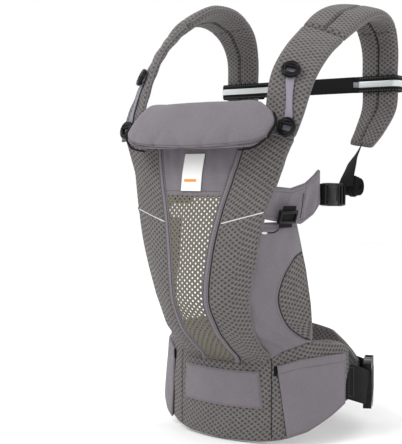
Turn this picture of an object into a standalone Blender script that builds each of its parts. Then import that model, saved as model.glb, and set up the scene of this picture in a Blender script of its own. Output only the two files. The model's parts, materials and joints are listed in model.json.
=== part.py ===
"""Soft structured baby carrier, in the shape it takes when worn.

Frame: metres, +Z up. X = 0 is the plane of symmetry, the panel faces -Y and the wearer stands at +Y.
The origin is the front centre of the waist belt's bottom edge. Every fabric piece is a closed slab
of its own thickness, and every plastic piece is its own solid.
"""
from math import asin, cos, pi, radians, sin

import bmesh
import bpy
from mathutils import Matrix, Vector

# ---- driving dimensions -------------------------------------------------------------------------
GAP = 0.0005                    # play left between neighbouring pieces
BELT_A = 0.165                  # half width of the closed belt ring, along X
BELT_B = 0.133                  # half depth of the closed belt ring, along Y
BELT_THICK = 0.012
BELT_END_RIGHT = 76.0           # degrees round the ring from the front centre
BELT_END_LEFT = -222.0
WAIST_WEB = 0.050
SIDE_WEB = 0.025
WEB_THICK = 0.0016
MESH_THICK = 0.006
FABRIC_THICK = 0.004
WINDOW_THICK = 0.0025
TAPE_WIDTH = 0.009
PANEL_BASE = 0.1180
PANEL_TOP = 0.476
YOKE_BASE = 0.4330
WINDOW_TOP = 0.354
SEAM_GAP = 0.0004
STRAP_SPLIT = 4.1               # place along the strap where the yoke meets the padded strap
RING_OUTER = 0.0135
RING_INNER = 0.0072
RING_HEIGHT = 0.0055
RAIL_HEIGHT = 0.524             # height of the chest strap at rest

# Height, centre line depth, half width, how far the edge sits behind the centre, trim tape offset.
PANEL_ROWS = [
    (0.118, 0.004, 0.079, 0.012, 0.029),
    (0.140, -0.022, 0.075, 0.016, 0.029),
    (0.165, -0.050, 0.077, 0.024, 0.029),
    (0.210, -0.074, 0.082, 0.031, 0.028),
    (0.280, -0.072, 0.099, 0.023, 0.035),
    (0.334, -0.065, 0.110, 0.017, 0.046),
    (0.385, -0.058, 0.126, 0.021, 0.060),
    (0.414, -0.050, 0.137, 0.014, 0.068),
    (0.450, -0.041, 0.153, 0.010, 0.077),
    (0.478, -0.030, 0.160, 0.006, 0.084),
]

# Shoulder strap from the panel over the shoulder to the back: X, Y, Z, turn of its width in plan,
# drop of its outer edge, width, thickness. Angles are in degrees.
STRAP_ROWS = [
    (0.1260, -0.0410, 0.4360, 10, 0, 0.048, 0.007),
    (0.1300, -0.0290, 0.4700, 20, 0, 0.052, 0.009),
    (0.1270, -0.0050, 0.5180, 27, 2, 0.059, 0.012),
    (0.1260, 0.0290, 0.5580, 29, 6, 0.061, 0.013),
    (0.1240, 0.0680, 0.5880, 27, 10, 0.064, 0.015),
    (0.1230, 0.1080, 0.6130, 20, 12, 0.070, 0.019),
    (0.1250, 0.1500, 0.6290, 12, 12, 0.070, 0.020),
    (0.1270, 0.1950, 0.6310, 6, 10, 0.070, 0.021),
    (0.1290, 0.2330, 0.6140, 0, 5, 0.066, 0.021),
    (0.1300, 0.2510, 0.5800, 0, 0, 0.060, 0.020),
    (0.1300, 0.2520, 0.5350, 0, 0, 0.058, 0.020),
    (0.1300, 0.2510, 0.4900, 0, 0, 0.057, 0.020),
    (0.1230, 0.2330, 0.4530, -4, 0, 0.050, 0.018),
    (0.1160, 0.2150, 0.4280, -6, 0, 0.042, 0.014),
]
# The two straps don't lie quite alike: how far each arch's crown is shifted along Y and Z.
CROWN_SHIFT = {1: (0.012, -0.008), -1: (-0.011, 0.010)}
# The left strap is also turned further about its own line where it climbs to the shoulder.
SHOULDER_TURN = {1: 0.0, -1: 12.0}
CROWN_START, CROWN_END = 1.0, 9.0

# Belt: degrees from the front centre, height of the bottom edge, height of the top edge.
BELT_ROWS = [
    (-222, 0.050, 0.088), (-214, 0.042, 0.100), (-196, 0.038, 0.126), (-170, 0.040, 0.138),
    (-140, 0.046, 0.142), (-110, 0.054, 0.143), (-84, 0.058, 0.144), (-62, 0.038, 0.146),
    (-48, 0.017, 0.146), (-34, 0.005, 0.134), (-29, 0.003, 0.126), (-22, 0.001, 0.1145),
    (0, 0.000, 0.1145),
    (22, 0.001, 0.1145), (29, 0.003, 0.126), (34, 0.005, 0.134), (48, 0.017, 0.146),
    (62, 0.038, 0.146), (71, 0.053, 0.141), (80, 0.060, 0.128),
]

GREY = (0.205, 0.185, 0.195)
MESH_GREY = (0.150, 0.138, 0.138)
TAUPE = (0.300, 0.270, 0.230)
BLACK = (0.012, 0.012, 0.013)
WHITE = (0.850, 0.850, 0.830)


# ---- small tools --------------------------------------------------------------------------------
def clear_scene():
    for obj in list(bpy.data.objects):
        bpy.data.objects.remove(obj, do_unlink=True)


def material(name, colour, roughness):
    mat = bpy.data.materials.new(name)
    mat.use_nodes = True
    shader = mat.node_tree.nodes["Principled BSDF"]
    shader.inputs["Base Color"].default_value = (*colour, 1.0)
    shader.inputs["Roughness"].default_value = roughness
    shader.inputs["Metallic"].default_value = 0.0
    mat.diffuse_color = (*colour, 1.0)
    return mat


def finish(name, mesh, colour, roughness, origin=None):
    """Make the node's object, with its origin on `origin` where the piece turns about a point."""
    if origin is not None:
        mesh.transform(Matrix.Translation(-Vector(origin)))
    obj = bpy.data.objects.new(name, mesh)
    if origin is not None:
        obj.location = origin
    mesh.materials.clear()
    mesh.materials.append(material(name, colour, roughness))
    mesh.shade_smooth()
    mesh.set_sharp_from_angle(angle=radians(35))
    bpy.context.scene.collection.objects.link(obj)
    return obj


def spline(rows, t):
    """Read a table of rows at place t (0 at the first row) with a smooth Catmull-Rom curve."""
    last = len(rows) - 1
    t = min(max(t, 0.0), float(last))
    i = min(int(t), last - 1)
    f = t - i
    p0, p1, p2, p3 = (rows[min(max(k, 0), last)] for k in (i - 1, i, i + 1, i + 2))
    return [
        0.5 * (2 * b + (c - a) * f + (2 * a - 5 * b + 4 * c - d) * f * f
               + (3 * b - a - 3 * c + d) * f ** 3)
        for a, b, c, d in zip(p0, p1, p2, p3)
    ]


def lookup(rows, key):
    """Read a table whose first column rises steadily, at the value `key` of that column."""
    key = min(max(key, rows[0][0]), rows[-1][0])
    for low, high in zip(rows, rows[1:]):
        if key <= high[0]:
            f = (key - low[0]) / (high[0] - low[0])
            return [a + (b - a) * f for a, b in zip(low, high)]
    return list(rows[-1])


def smooth_lookup(rows, key):
    """Like lookup, but the columns follow a smooth curve through the rows."""
    key = min(max(key, rows[0][0]), rows[-1][0])
    i = max(k for k in range(len(rows) - 1) if rows[k][0] <= key or k == 0)
    f = (key - rows[i][0]) / (rows[i + 1][0] - rows[i][0])
    return spline(rows, i + f)


def normal_at(surface, u, v, step=0.002):
    """Unit normal of surface(u, v), by differences that stay inside the square 0..1."""
    u0, u1 = max(u - step, 0.0), min(u + step, 1.0)
    v0, v1 = max(v - step, 0.0), min(v + step, 1.0)
    along_u = surface(u1, v) - surface(u0, v)
    along_v = surface(u, v1) - surface(u, v0)
    return along_u.cross(along_v).normalized()


def closed_mesh(name, verts, faces):
    mesh = bpy.data.meshes.new(name)
    mesh.from_pydata([tuple(v) for v in verts], [], faces)
    bm = bmesh.new()
    bm.from_mesh(mesh)
    bmesh.ops.recalc_face_normals(bm, faces=bm.faces)
    if bm.calc_volume(signed=True) < 0:
        bmesh.ops.reverse_faces(bm, faces=bm.faces)
    bm.to_mesh(mesh)
    bm.free()
    return mesh


def slab_mesh(name, surface, nu, nv, thick, outward, raise_by=0.0, side=1, normal=None):
    """A sheet of fabric: its outer face lies `raise_by` above surface(u, v), `thick` thick.

    `outward` is a direction on the outer side. `side` = -1 mirrors the piece in the plane X = 0.
    """
    outer, inner = [], []
    for j in range(nv + 1):
        for i in range(nu + 1):
            u, v = i / nu, j / nv
            n = normal(u, v) if normal else normal_at(surface, u, v)
            direction = outward(u, v) if callable(outward) else outward
            if n.dot(direction) < 0:
                n = -n
            p = surface(u, v)
            outer.append(p + n * raise_by)
            inner.append(p + n * (raise_by - thick))
    verts = outer + inner
    count = len(outer)
    faces = []

    def at(i, j):
        return j * (nu + 1) + i

    for j in range(nv):
        for i in range(nu):
            a, b, c, d = at(i, j), at(i + 1, j), at(i + 1, j + 1), at(i, j + 1)
            faces.append((a, b, c, d))
            faces.append((d + count, c + count, b + count, a + count))
    rim = [at(i, 0) for i in range(nu)] + [at(nu, j) for j in range(nv)]
    rim += [at(i, nv) for i in range(nu, 0, -1)] + [at(0, j) for j in range(nv, 0, -1)]
    for a, b in zip(rim, rim[1:] + rim[:1]):
        faces.append((b, a, a + count, b + count))
    for v in verts:
        v.x *= side
    return closed_mesh(name, verts, faces)


def loft_mesh(name, rings, side=1):
    """A closed body through rings of points, each ring with the same count, capped at both ends."""
    count = len(rings[0])
    verts = [Vector((p.x * side, p.y, p.z)) for ring in rings for p in ring]
    faces = [tuple(range(count)), tuple(range(len(verts) - count, len(verts)))]
    for k in range(len(rings) - 1):
        for i in range(count):
            j = (i + 1) % count
            base = k * count
            faces.append((base + i, base + j, base + count + j, base + count + i))
    return closed_mesh(name, verts, faces)


def rounded_ring(centre, across, through, width, thick, count=14, power=0.55):
    """Points of a rounded oblong cross-section of a padded strap."""
    points = []
    for k in range(count):
        a = 2 * pi * k / count
        ca, sa = cos(a), sin(a)
        x = (abs(ca) ** power) * (1 if ca >= 0 else -1)
        y = (abs(sa) ** power) * (1 if sa >= 0 else -1)
        points.append(centre + across * (x * width / 2) + through * (y * thick / 2))
    return points


def box_mesh(name, low, high):
    """A plain block between two corners, in a piece's own coordinates."""
    bm = bmesh.new()
    bmesh.ops.create_cube(bm, size=1.0)
    size = [b - a for a, b in zip(low, high)]
    centre = [(a + b) / 2 for a, b in zip(low, high)]
    bmesh.ops.scale(bm, vec=size, verts=bm.verts)
    bmesh.ops.translate(bm, vec=centre, verts=bm.verts)
    mesh = bpy.data.meshes.new(name)
    bm.to_mesh(mesh)
    bm.free()
    return mesh


def combine(base, others, operation):
    """Cut meshes from `base`, or join meshes to it, with exact Booleans, and return the result."""
    body = bpy.data.objects.new("work", base)
    bpy.context.scene.collection.objects.link(body)
    tools = []
    for mesh in others:
        tool = bpy.data.objects.new("tool", mesh)
        bpy.context.scene.collection.objects.link(tool)
        tools.append(tool)
        mod = body.modifiers.new("bool", "BOOLEAN")
        mod.solver = "EXACT"
        mod.operation = operation
        mod.object = tool
    graph = bpy.context.evaluated_depsgraph_get()
    result = bpy.data.meshes.new_from_object(body.evaluated_get(graph))
    for obj in tools + [body]:
        bpy.data.objects.remove(obj, do_unlink=True)
    return result


def extrude_outline(name, outline, low, high):
    """A flat outline in X and Y made into a solid between two heights."""
    count = len(outline)
    verts = [Vector((x, y, low)) for x, y in outline] + [Vector((x, y, high)) for x, y in outline]
    faces = [tuple(range(count)), tuple(range(2 * count - 1, count - 1, -1))]
    for i in range(count):
        j = (i + 1) % count
        faces.append((i, j, count + j, count + i))
    return closed_mesh(name, verts, faces)


def frame_matrix(origin, x_axis, z_axis):
    """Placement with its own X along x_axis and its own Z as near z_axis as can be."""
    x = Vector(x_axis).normalized()
    y = Vector(z_axis).cross(x).normalized()
    z = x.cross(y)
    matrix = Matrix((x, y, z)).transposed().to_4x4()
    matrix.translation = Vector(origin)
    return matrix


def side_name(side):
    return "right" if side > 0 else "left"


# ---- the surfaces that the fabric follows ----------------------------------------------------------
def panel_row(z):
    return smooth_lookup(PANEL_ROWS, z)


def panel_point(x, z):
    _, centre, half, recess, _ = panel_row(z)
    return Vector((x, centre + recess * (x / half) ** 2, z))


def panel_normal(x, z, step=0.0015):
    along_x = panel_point(x + step, z) - panel_point(x - step, z)
    along_z = panel_point(x, z + step) - panel_point(x, z - step)
    n = along_x.cross(along_z).normalized()
    return n if n.y < 0 else -n


def belt_point(degrees, z, out=0.0):
    a = radians(degrees)
    normal = Vector((BELT_B * sin(a), -BELT_A * cos(a), 0.0)).normalized()
    return Vector((BELT_A * sin(a), BELT_B * (1 - cos(a)), z)) + normal * out


def belt_edges(degrees):
    _, low, high = lookup(BELT_ROWS, degrees)
    return low, high


def belt_top_at(x):
    return belt_edges(asin(min(abs(x) / BELT_A, 1.0)) * 180 / pi)[1]


def strap_centre(t, side):
    """Middle of a strap at place t, with X as on the right strap."""
    x, y, z = spline(STRAP_ROWS, t)[:3]
    f = min(max((t - CROWN_START) / (CROWN_END - CROWN_START), 0.0), 1.0)
    shift_y, shift_z = CROWN_SHIFT[side]
    crown = sin(pi * f) ** 2
    return Vector((x, y + shift_y * crown, z + shift_z * crown))


def strap_frame(t, side):
    """Centre, direction along, direction across, outward normal, width and thickness at place t."""
    turn, drop, width, thick = spline(STRAP_ROWS, t)[3:]
    along = (strap_centre(t + 0.05, side) - strap_centre(t - 0.05, side)).normalized()
    turn += SHOULDER_TURN[side] * sin(pi * min(max(t / 5, 0.0), 1.0)) ** 2
    turn, drop = radians(turn), radians(drop)
    across = Vector((cos(turn) * cos(drop), sin(turn) * cos(drop), -sin(drop)))
    across = (across - along * across.dot(along)).normalized()
    outward = across.cross(along)
    return strap_centre(t, side), along, across, outward, width, thick


# ---- panel ----------------------------------------------------------------------------------------
def panel_slab(name, x_low, x_high, z_low, z_high, nu, nv, thick, raise_by, side, colour):
    """A piece of the panel between two edge curves, given as functions of height."""
    def place(u, v):
        guess = z_low(u) + (z_high(u) - z_low(u)) * v
        return x_low(guess) + (x_high(guess) - x_low(guess)) * u, guess

    mesh = slab_mesh(
        name, lambda u, v: panel_point(*place(u, v)), nu, nv, thick, Vector((0, -1, 0)),
        raise_by, side, normal=lambda u, v: panel_normal(*place(u, v)))
    return finish(name, mesh, colour, 0.85)


def make_panel():
    half_tape = TAPE_WIDTH / 2

    def tape_in(z):
        return panel_row(z)[4] - half_tape

    def tape_out(z):
        return panel_row(z)[4] + half_tape

    def base(u):
        return PANEL_BASE

    panel_slab("window_mesh", lambda z: -tape_in(z) + SEAM_GAP, lambda z: tape_in(z) - SEAM_GAP, base,
               lambda u: WINDOW_TOP - SEAM_GAP, 8, 16, WINDOW_THICK, 0, 1, TAUPE)
    panel_slab("top_panel", lambda z: -tape_in(z) + SEAM_GAP, lambda z: tape_in(z) - SEAM_GAP,
               lambda u: WINDOW_TOP + SEAM_GAP, lambda u: PANEL_TOP, 8, 8, FABRIC_THICK, 0, 1, GREY)
    for side in (-1, 1):
        name = side_name(side)
        panel_slab("trim_tape_" + name, tape_in, tape_out, base, lambda u: PANEL_TOP,
                   2, 22, 0.0045, 0.0015, side, GREY)

        def seam(u):
            return 0.317 + 0.017 * u

        def side_base(u):
            return belt_top_at(0.036 + 0.042 * u) + 0.0035

        def inner(z):
            return tape_out(z) + SEAM_GAP

        def outer(z):
            return panel_row(z)[2]

        panel_slab("side_panel_lower_" + name, inner, outer, side_base, lambda u: seam(u) - SEAM_GAP,
                   6, 12, MESH_THICK, 0, side, MESH_GREY)
        panel_slab("side_panel_upper_" + name, inner, outer, lambda u: seam(u) + SEAM_GAP,
                   lambda u: YOKE_BASE, 6, 8, MESH_THICK, 0, side, MESH_GREY)


def make_tag():
    """Blank woven tag, sewn along its sides to the top panel."""
    width, low, high, offset = 0.0375, 0.361, 0.412, -0.0032

    def surface(u, v):
        return panel_point((u - 0.5) * width + offset, low + (high - low) * v)

    mesh = slab_mesh("blank_tag", surface, 4, 6, 0.0008, Vector((0, -1, 0)), GAP + 0.0008)
    finish("blank_tag", mesh, WHITE, 0.7)


# ---- leg area -------------------------------------------------------------------------------------
WING_BACK = [(0.128, 0.0500, 0.145), (0.125, 0.0505, 0.200), (0.118, 0.0490, 0.250),
             (0.106, 0.0420, 0.317)]
WING_TOP = 0.317
WING_BULGE = 0.006
TAB_ROWS = [(0.0, 0.326, 0.367), (0.35, 0.319, 0.364), (0.65, 0.317, 0.371), (0.88, 0.330, 0.383),
            (1.0, 0.343, 0.390)]
TAB_BACK = Vector((0.135, 0.058, 0.0))
SEAT_STRAP_RISE = 0.0065                        # the seat strap sits this far above the gap's middle


def behind_edge(z):
    """Just behind the back face of the panel's edge, where wings and tabs are sewn on."""
    half = panel_row(z)[2]
    return panel_point(half - 0.0015, z) - panel_normal(half - 0.0015, z) * (MESH_THICK + 0.0010)


def wing_point(u, v):
    """u runs from the panel seam to the back edge, v from the belt to the top edge."""
    foot = 0.080 + 0.047 * u
    low = belt_top_at(foot) + 0.0035
    z = low + (WING_TOP - low) * v
    front = behind_edge(z)
    back = lookup([(p[2], p[0], p[1]) for p in WING_BACK], z)
    rear = Vector((back[1], back[2], z))
    point = front.lerp(rear, u)
    foot_point = belt_point(asin(foot / BELT_A) * 180 / pi, z)
    point = point.lerp(foot_point, max(0.0, 1 - v * 6) ** 2)
    point.x += WING_BULGE * 4 * u * (1 - u) * min(1.0, v * 3)
    return point


def tab_point(u, v):
    """u runs from the panel edge back to the buckle, v from the bottom edge to the top edge."""
    _, low, high = lookup(TAB_ROWS, u)
    z = low + (high - low) * v
    front = behind_edge(z)
    rear = Vector((TAB_BACK.x, TAB_BACK.y, z))
    point = front.lerp(rear, u)
    point.x += 0.003 * 4 * u * (1 - u)
    return point


def seat_strap_frame():
    """Where the seat-width webbing runs, from the wing's top up over the side tab."""
    low = wing_point(0.40, 0.96)
    high = tab_point(0.29, 0.40)
    across = (TAB_BACK - Vector((0.112, -0.032, 0))).normalized()
    up = (high - low)
    up = (up - across * up.dot(across)).normalized()
    out = across.cross(up).normalized()
    if out.x < 0:
        out = -out
    centre = (low + high) / 2 + out * 0.0100 + up * SEAT_STRAP_RISE
    return centre, across, up, out


def make_leg_area():
    for side in (-1, 1):
        name = side_name(side)
        mesh = slab_mesh("leg_wing_" + name, wing_point, 10, 14, FABRIC_THICK, Vector((1, 0, 0)),
                         side=side)
        finish("leg_wing_" + name, mesh, GREY, 0.85)
        mesh = slab_mesh("side_tab_" + name, tab_point, 10, 4, FABRIC_THICK, Vector((1, 0, 0)),
                         side=side)
        finish("side_tab_" + name, mesh, GREY, 0.85)
        make_seat_strap(side)


def make_seat_strap(side):
    name = side_name(side)
    centre, across, up, out = seat_strap_frame()
    half_width, half_length = 0.0125, 0.0145

    def surface(u, v):
        return centre + across * (u - 0.5) * 2 * half_width + up * (v - 0.5) * 2 * half_length

    mesh = slab_mesh("seat_strap_" + name, surface, 2, 6, WEB_THICK, out, WEB_THICK / 2, side)
    finish("seat_strap_" + name, mesh, BLACK, 0.7)

    half_web, rail, bar, height = 0.0131, 0.0026, 0.0045, 0.0095
    edge = half_web + rail
    parts = []
    for sign in (-1, 1):
        near, far = sorted((sign * half_web, sign * edge))
        parts.append(box_mesh("rail", (near, -height, -0.0030), (far, height, 0.0032)))
        near, far = sorted((sign * height, sign * (height - bar)))
        parts.append(box_mesh("bar", (-edge, near, 0.0012), (edge, far, 0.0032)))
    parts.append(box_mesh("middle", (-edge, -0.003, -0.0030), (edge, 0.003, -0.0012)))
    mesh = combine(parts[0], parts[1:], "UNION")
    place = Matrix((across, up, out)).transposed().to_4x4()
    place.translation = centre
    mesh.transform(place)
    if side < 0:
        mirror_mesh(mesh)
    origin = Vector((centre.x * side, centre.y, centre.z))
    finish("tri_glide_" + name, mesh, BLACK, 0.35, origin)


def mirror_mesh(mesh):
    mesh.transform(Matrix.Scale(-1, 4, Vector((1, 0, 0))))
    mesh.flip_normals()


# ---- waist belt -----------------------------------------------------------------------------------
def belt_piece(name, start, end, low, high, nu, nv, thick, raise_by, colour, roughness=0.85):
    """A piece that follows the belt ring between two angles; low and high are heights by angle."""
    def surface(u, v):
        angle = start + (end - start) * u
        return belt_point(angle, low(angle) + (high(angle) - low(angle)) * v)

    def outward(u, v):
        a = radians(start + (end - start) * u)
        return Vector((BELT_B * sin(a), -BELT_A * cos(a), 0.0)).normalized()

    mesh = slab_mesh(name, surface, nu, nv, thick, outward, raise_by, normal=outward)
    return finish(name, mesh, colour, roughness)


def make_belt():
    belt_piece("belt_pad", BELT_END_LEFT, BELT_END_RIGHT, lambda a: belt_edges(a)[0],
               lambda a: belt_edges(a)[1], 76, 4, BELT_THICK, 0, MESH_GREY)
    belt_piece("belt_patch", -23.5, 23.5, lambda a: 0.050, lambda a: 0.103, 12, 3, 0.0015,
               GAP + 0.0015, GREY)

    def pocket_low(a):
        return belt_edges(a)[0] + 0.001

    def pocket_high(a):
        return lookup([(31, 0.112, 0.0), (45, 0.123, 0.0), (60, 0.127, 0.0), (75, 0.128, 0.0)],
                      abs(a))[1]

    belt_piece("pocket_right", 32, 71.5, pocket_low, pocket_high, 14, 4, 0.0035, GAP + 0.0035, GREY)
    belt_piece("pocket_left", -38, -75, pocket_low, pocket_high, 14, 4, 0.0035, GAP + 0.0035, GREY)


WAIST_BUCKLE_ANGLE = 110.0
WAIST_BUCKLE_HEIGHT = 0.068


def waist_webbing(name, start, end, offset):
    def low(angle):
        return WAIST_BUCKLE_HEIGHT + offset(angle) - WAIST_WEB / 2

    def high(angle):
        return low(angle) + WAIST_WEB

    belt_piece(name, start, end, low, high, 10, 2, WEB_THICK, GAP + WEB_THICK, BLACK, 0.7)


# ---- buckles --------------------------------------------------------------------------------------
class Buckle:
    """A side-release buckle. Its own X runs out of the socket's mouth, Y across, Z through it."""

    def __init__(self, name, place, web, socket_length, plug_length, thick):
        self.name = name
        self.place = place
        self.web = web
        self.half = web / 2 + (0.0115 if web > 0.04 else 0.0040)
        self.socket_length = socket_length
        self.plug_length = plug_length
        self.thick = thick
        self.wall = 0.0022
        self.skin = 0.0018
        self.prong_length = socket_length * 0.60
        self.arm = 0.0024

    def world(self, mesh):
        mesh.transform(self.place)
        return mesh

    def socket(self):
        half, length, t = self.half, self.socket_length, self.thick / 2
        outer = extrude_outline("socket", [
            (0, -half), (0, half), (-length * 0.30, half), (-length * 0.72, half),
            (-length, half * 0.90), (-length, -half * 0.90), (-length * 0.72, -half),
            (-length * 0.30, -half)], -t, t)
        cuts = [box_mesh("cavity", (-length * 0.74, -half + self.wall, -t + self.skin),
                         (0.01, half - self.wall, t - self.skin))]
        for sign in (-1, 1):
            near, far = sorted((sign * (half - self.wall * 1.5), sign * (half + 0.005)))
            cuts.append(box_mesh("window", (-self.prong_length * 0.98, near, -t + self.skin),
                                 (-self.prong_length * 0.40, far, t - self.skin)))
        cuts.append(box_mesh("slot", (-length + 0.0035, -self.web / 2 - 0.0005, -0.02),
                             (-length + 0.0080, self.web / 2 + 0.0005, 0.02)))
        return self.world(combine(outer, cuts, "DIFFERENCE"))

    def plug(self):
        half, length, t = self.half, self.plug_length, self.thick / 2 * 0.9
        base = extrude_outline("plug", [
            (0.0006, -half), (0.0006, half), (length * 0.55, half), (length, half * 0.92),
            (length, -half * 0.92), (length * 0.55, -half)], -t, t)
        tongue = box_mesh("tongue", (-self.prong_length * 0.8, -0.0024, -t + self.skin + 0.0005),
                          (0.002, 0.0024, t - self.skin - 0.0005))
        base = combine(base, [tongue], "UNION")
        cuts = []
        for start, end in ((0.28, 0.48), (0.66, 0.84)):
            cuts.append(box_mesh("ladder", (length * start, -self.web / 2 - 0.0005, -0.02),
                                 (length * end, self.web / 2 + 0.0005, 0.02)))
        return self.world(combine(base, cuts, "DIFFERENCE"))

    def prong(self, sign):
        """A springing arm with a shoulder that stands in the socket's side window."""
        arm_out = self.half - self.wall - 0.0007
        shoulder = self.half - 0.0006
        length = self.prong_length
        z = self.thick / 2 - self.skin - 0.0006
        outline = [
            (0.0, arm_out - self.arm), (0.0, arm_out), (-length * 0.42, arm_out),
            (-length * 0.46, shoulder), (-length * 0.62, shoulder), (-length * 0.90, arm_out),
            (-length * 0.94, arm_out - self.arm), (-length * 0.50, arm_out - self.arm)]
        outline = [(x - 0.0002, y * sign) for x, y in outline]
        return self.world(extrude_outline("prong", outline, -z, z))

    def prong_root(self, sign):
        return self.place @ Vector((0.0, sign * (self.half - self.wall - 0.0007 - self.arm / 2), 0.0))

    def build(self, mirrored=False, suffix=""):
        pieces = [("socket", self.socket(), self.place.translation),
                  ("plug", self.plug(), self.place.translation),
                  ("prong_a", self.prong(1), self.prong_root(1)),
                  ("prong_b", self.prong(-1), self.prong_root(-1))]
        for part, mesh, origin in pieces:
            origin = Vector(origin)
            if mirrored:
                mirror_mesh(mesh)
                origin.x = -origin.x
            finish(self.name + "_" + part + suffix, mesh, BLACK, 0.35, origin)


def waist_buckle():
    centre = belt_point(WAIST_BUCKLE_ANGLE, WAIST_BUCKLE_HEIGHT, -0.004)
    a = radians(WAIST_BUCKLE_ANGLE)
    towards_plug = -Vector((BELT_A * cos(a), BELT_B * sin(a), 0)).normalized()
    outward = Vector((BELT_B * sin(a), -BELT_A * cos(a), 0)).normalized()
    place = frame_matrix(centre, towards_plug, outward)
    return Buckle("waist_buckle", place, WAIST_WEB, 0.044, 0.027, 0.0135)


SIDE_BUCKLE_START = Vector((0.1365, 0.0600, 0.3560))
SIDE_BUCKLE_AXIS = Vector((0.05, 0.99, -0.03)).normalized()
SIDE_SOCKET = 0.034
SIDE_PLUG = 0.022


def side_buckle():
    mouth = SIDE_BUCKLE_START + SIDE_BUCKLE_AXIS * SIDE_SOCKET
    place = frame_matrix(mouth, SIDE_BUCKLE_AXIS, (1, 0, 0))
    return Buckle("side_buckle", place, SIDE_WEB, SIDE_SOCKET, SIDE_PLUG, 0.0105)


CHEST_Y = 0.2350
CHEST_MOUTH_X = -0.012


def chest_buckle():
    place = frame_matrix((CHEST_MOUTH_X, CHEST_Y, RAIL_HEIGHT), (1, 0, 0), (0, -1, 0))
    return Buckle("chest_buckle", place, SIDE_WEB, 0.034, 0.022, 0.0105)


# ---- shoulder straps ------------------------------------------------------------------------------
def strap_rings(start, end, count, side):
    rings = []
    for k in range(count + 1):
        t = start + (end - start) * k / count
        centre, _, across, outward, width, thick = strap_frame(t, side)
        ends = min(k, count - k)
        trim = 0.80 if ends == 0 else 1.0
        rings.append(rounded_ring(centre, across, outward, width * (1 - (1 - trim) * 0.25),
                                  thick * trim))
    return rings


def on_strap(t, lateral, raise_by, side):
    centre, _, across, outward, _, thick = strap_frame(t, side)
    return centre + across * lateral + outward * (thick / 2 + raise_by)


BUTTON_UPPER = 2.02
BUTTON_LOWER = 0.40
UPPER_LATERAL = {1: -0.0030, -1: -0.0080}    # how far each button sits from the strap's middle
LOWER_LATERAL = {1: 0.0125, -1: 0.0030}
BUTTON_STAND = 0.0037           # post height between the strap and the ring


def button_lateral(t, side):
    f = (t - BUTTON_LOWER) / (BUTTON_UPPER - BUTTON_LOWER)
    return LOWER_LATERAL[side] + (UPPER_LATERAL[side] - LOWER_LATERAL[side]) * f


def ring_button(name, t, side):
    """A moulded ring that the elastic loop hooks round, turned about its own axis."""
    r0, r1, h, c = RING_INNER, RING_OUTER, RING_HEIGHT, 0.0012
    profile = [(r0, c), (r0 + c, 0), (r1 - c, 0), (r1, c), (r1, h - c), (r1 - c, h), (r0 + c, h),
               (r0, h - c)]
    segments = 28
    centre, along, across, outward, _, thick = strap_frame(t, side)
    base = centre + across * button_lateral(t, side) + outward * (thick / 2 + BUTTON_STAND)
    verts, faces = [], []
    for k in range(segments):
        a = 2 * pi * k / segments
        radial = across * cos(a) + along * sin(a)
        for r, z in profile:
            verts.append(base + radial * r + outward * z)
    n = len(profile)
    for k in range(segments):
        m = (k + 1) % segments
        for i in range(n):
            j = (i + 1) % n
            faces.append((k * n + i, k * n + j, m * n + j, m * n + i))
    for v in verts:
        v.x *= side
    finish(name, closed_mesh(name, verts, faces), BLACK, 0.3)


def make_straps():
    for side in (-1, 1):
        name = side_name(side)
        last = len(STRAP_ROWS) - 1
        yoke = loft_mesh("strap_yoke", strap_rings(0.0, STRAP_SPLIT, 16, side), side)
        finish("strap_yoke_" + name, yoke, MESH_GREY, 0.85)
        pad = loft_mesh("strap_pad", strap_rings(STRAP_SPLIT + 0.02, last, 36, side), side)
        finish("strap_pad_" + name, pad, MESH_GREY, 0.85)
        ring_button("ring_button_upper_" + name, BUTTON_UPPER, side)
        ring_button("ring_button_lower_" + name, BUTTON_LOWER, side)

        def ring_web(u, v):
            t = 0.02 + (BUTTON_UPPER + 0.25 - 0.02) * v
            return on_strap(t, button_lateral(t, side) + (u - 0.5) * 0.013, 0.0, side)

        mesh = slab_mesh("ring_webbing", ring_web, 2, 12, 0.0012, Vector((0, -1, 0.2)), 0.0024, side)
        finish("ring_webbing_" + name, mesh, GREY, 0.8)
        make_adjuster(side)


ADJUSTER_ROUTE = [(0.1160, 0.2100, 0.4220), (0.1200, 0.1920, 0.4140), (0.1260, 0.1700, 0.4040),
                  (0.1330, 0.1500, 0.3930), (0.1380, 0.1320, 0.3800), (0.1398, 0.1215, 0.3660)]


def make_adjuster(side):
    """25 mm webbing from the padded strap's end to the side buckle, with half a turn of twist."""
    name = side_name(side)
    last = len(ADJUSTER_ROUTE) - 1

    def centre(v):
        return Vector(spline(ADJUSTER_ROUTE, v * last))

    def across(v):
        along = (centre(min(v + 0.02, 1)) - centre(max(v - 0.02, 0))).normalized()
        turn = radians(60 * (1 - v))
        flat = Vector((cos(turn), 0, sin(turn)))
        return (flat - along * flat.dot(along)).normalized()

    def surface(u, v):
        return centre(v) + across(v) * (u - 0.5) * (SIDE_WEB - 0.004 * sin(pi * v))

    mesh = slab_mesh("adjuster", surface, 2, 14, WEB_THICK, Vector((0.5, 0.8, -0.5)), 0.0, side)
    finish("adjuster_webbing_" + name, mesh, BLACK, 0.7)
    rings = []
    middle = Vector((0.1420, 0.1425, 0.3665))
    for k in range(9):
        offset = (k / 8 - 0.5) * 0.026
        scale = 0.86 if k in (0, 8) else 1.0
        rings.append(rounded_ring(middle + Vector((offset, 0, 0)), Vector((0, 1, 0)),
                                  Vector((0, 0, 1)), 0.028 * scale, 0.030 * scale, 14, 0.85))
    finish("webbing_roll_" + name, loft_mesh("roll", rings, side), BLACK, 0.7)


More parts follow.
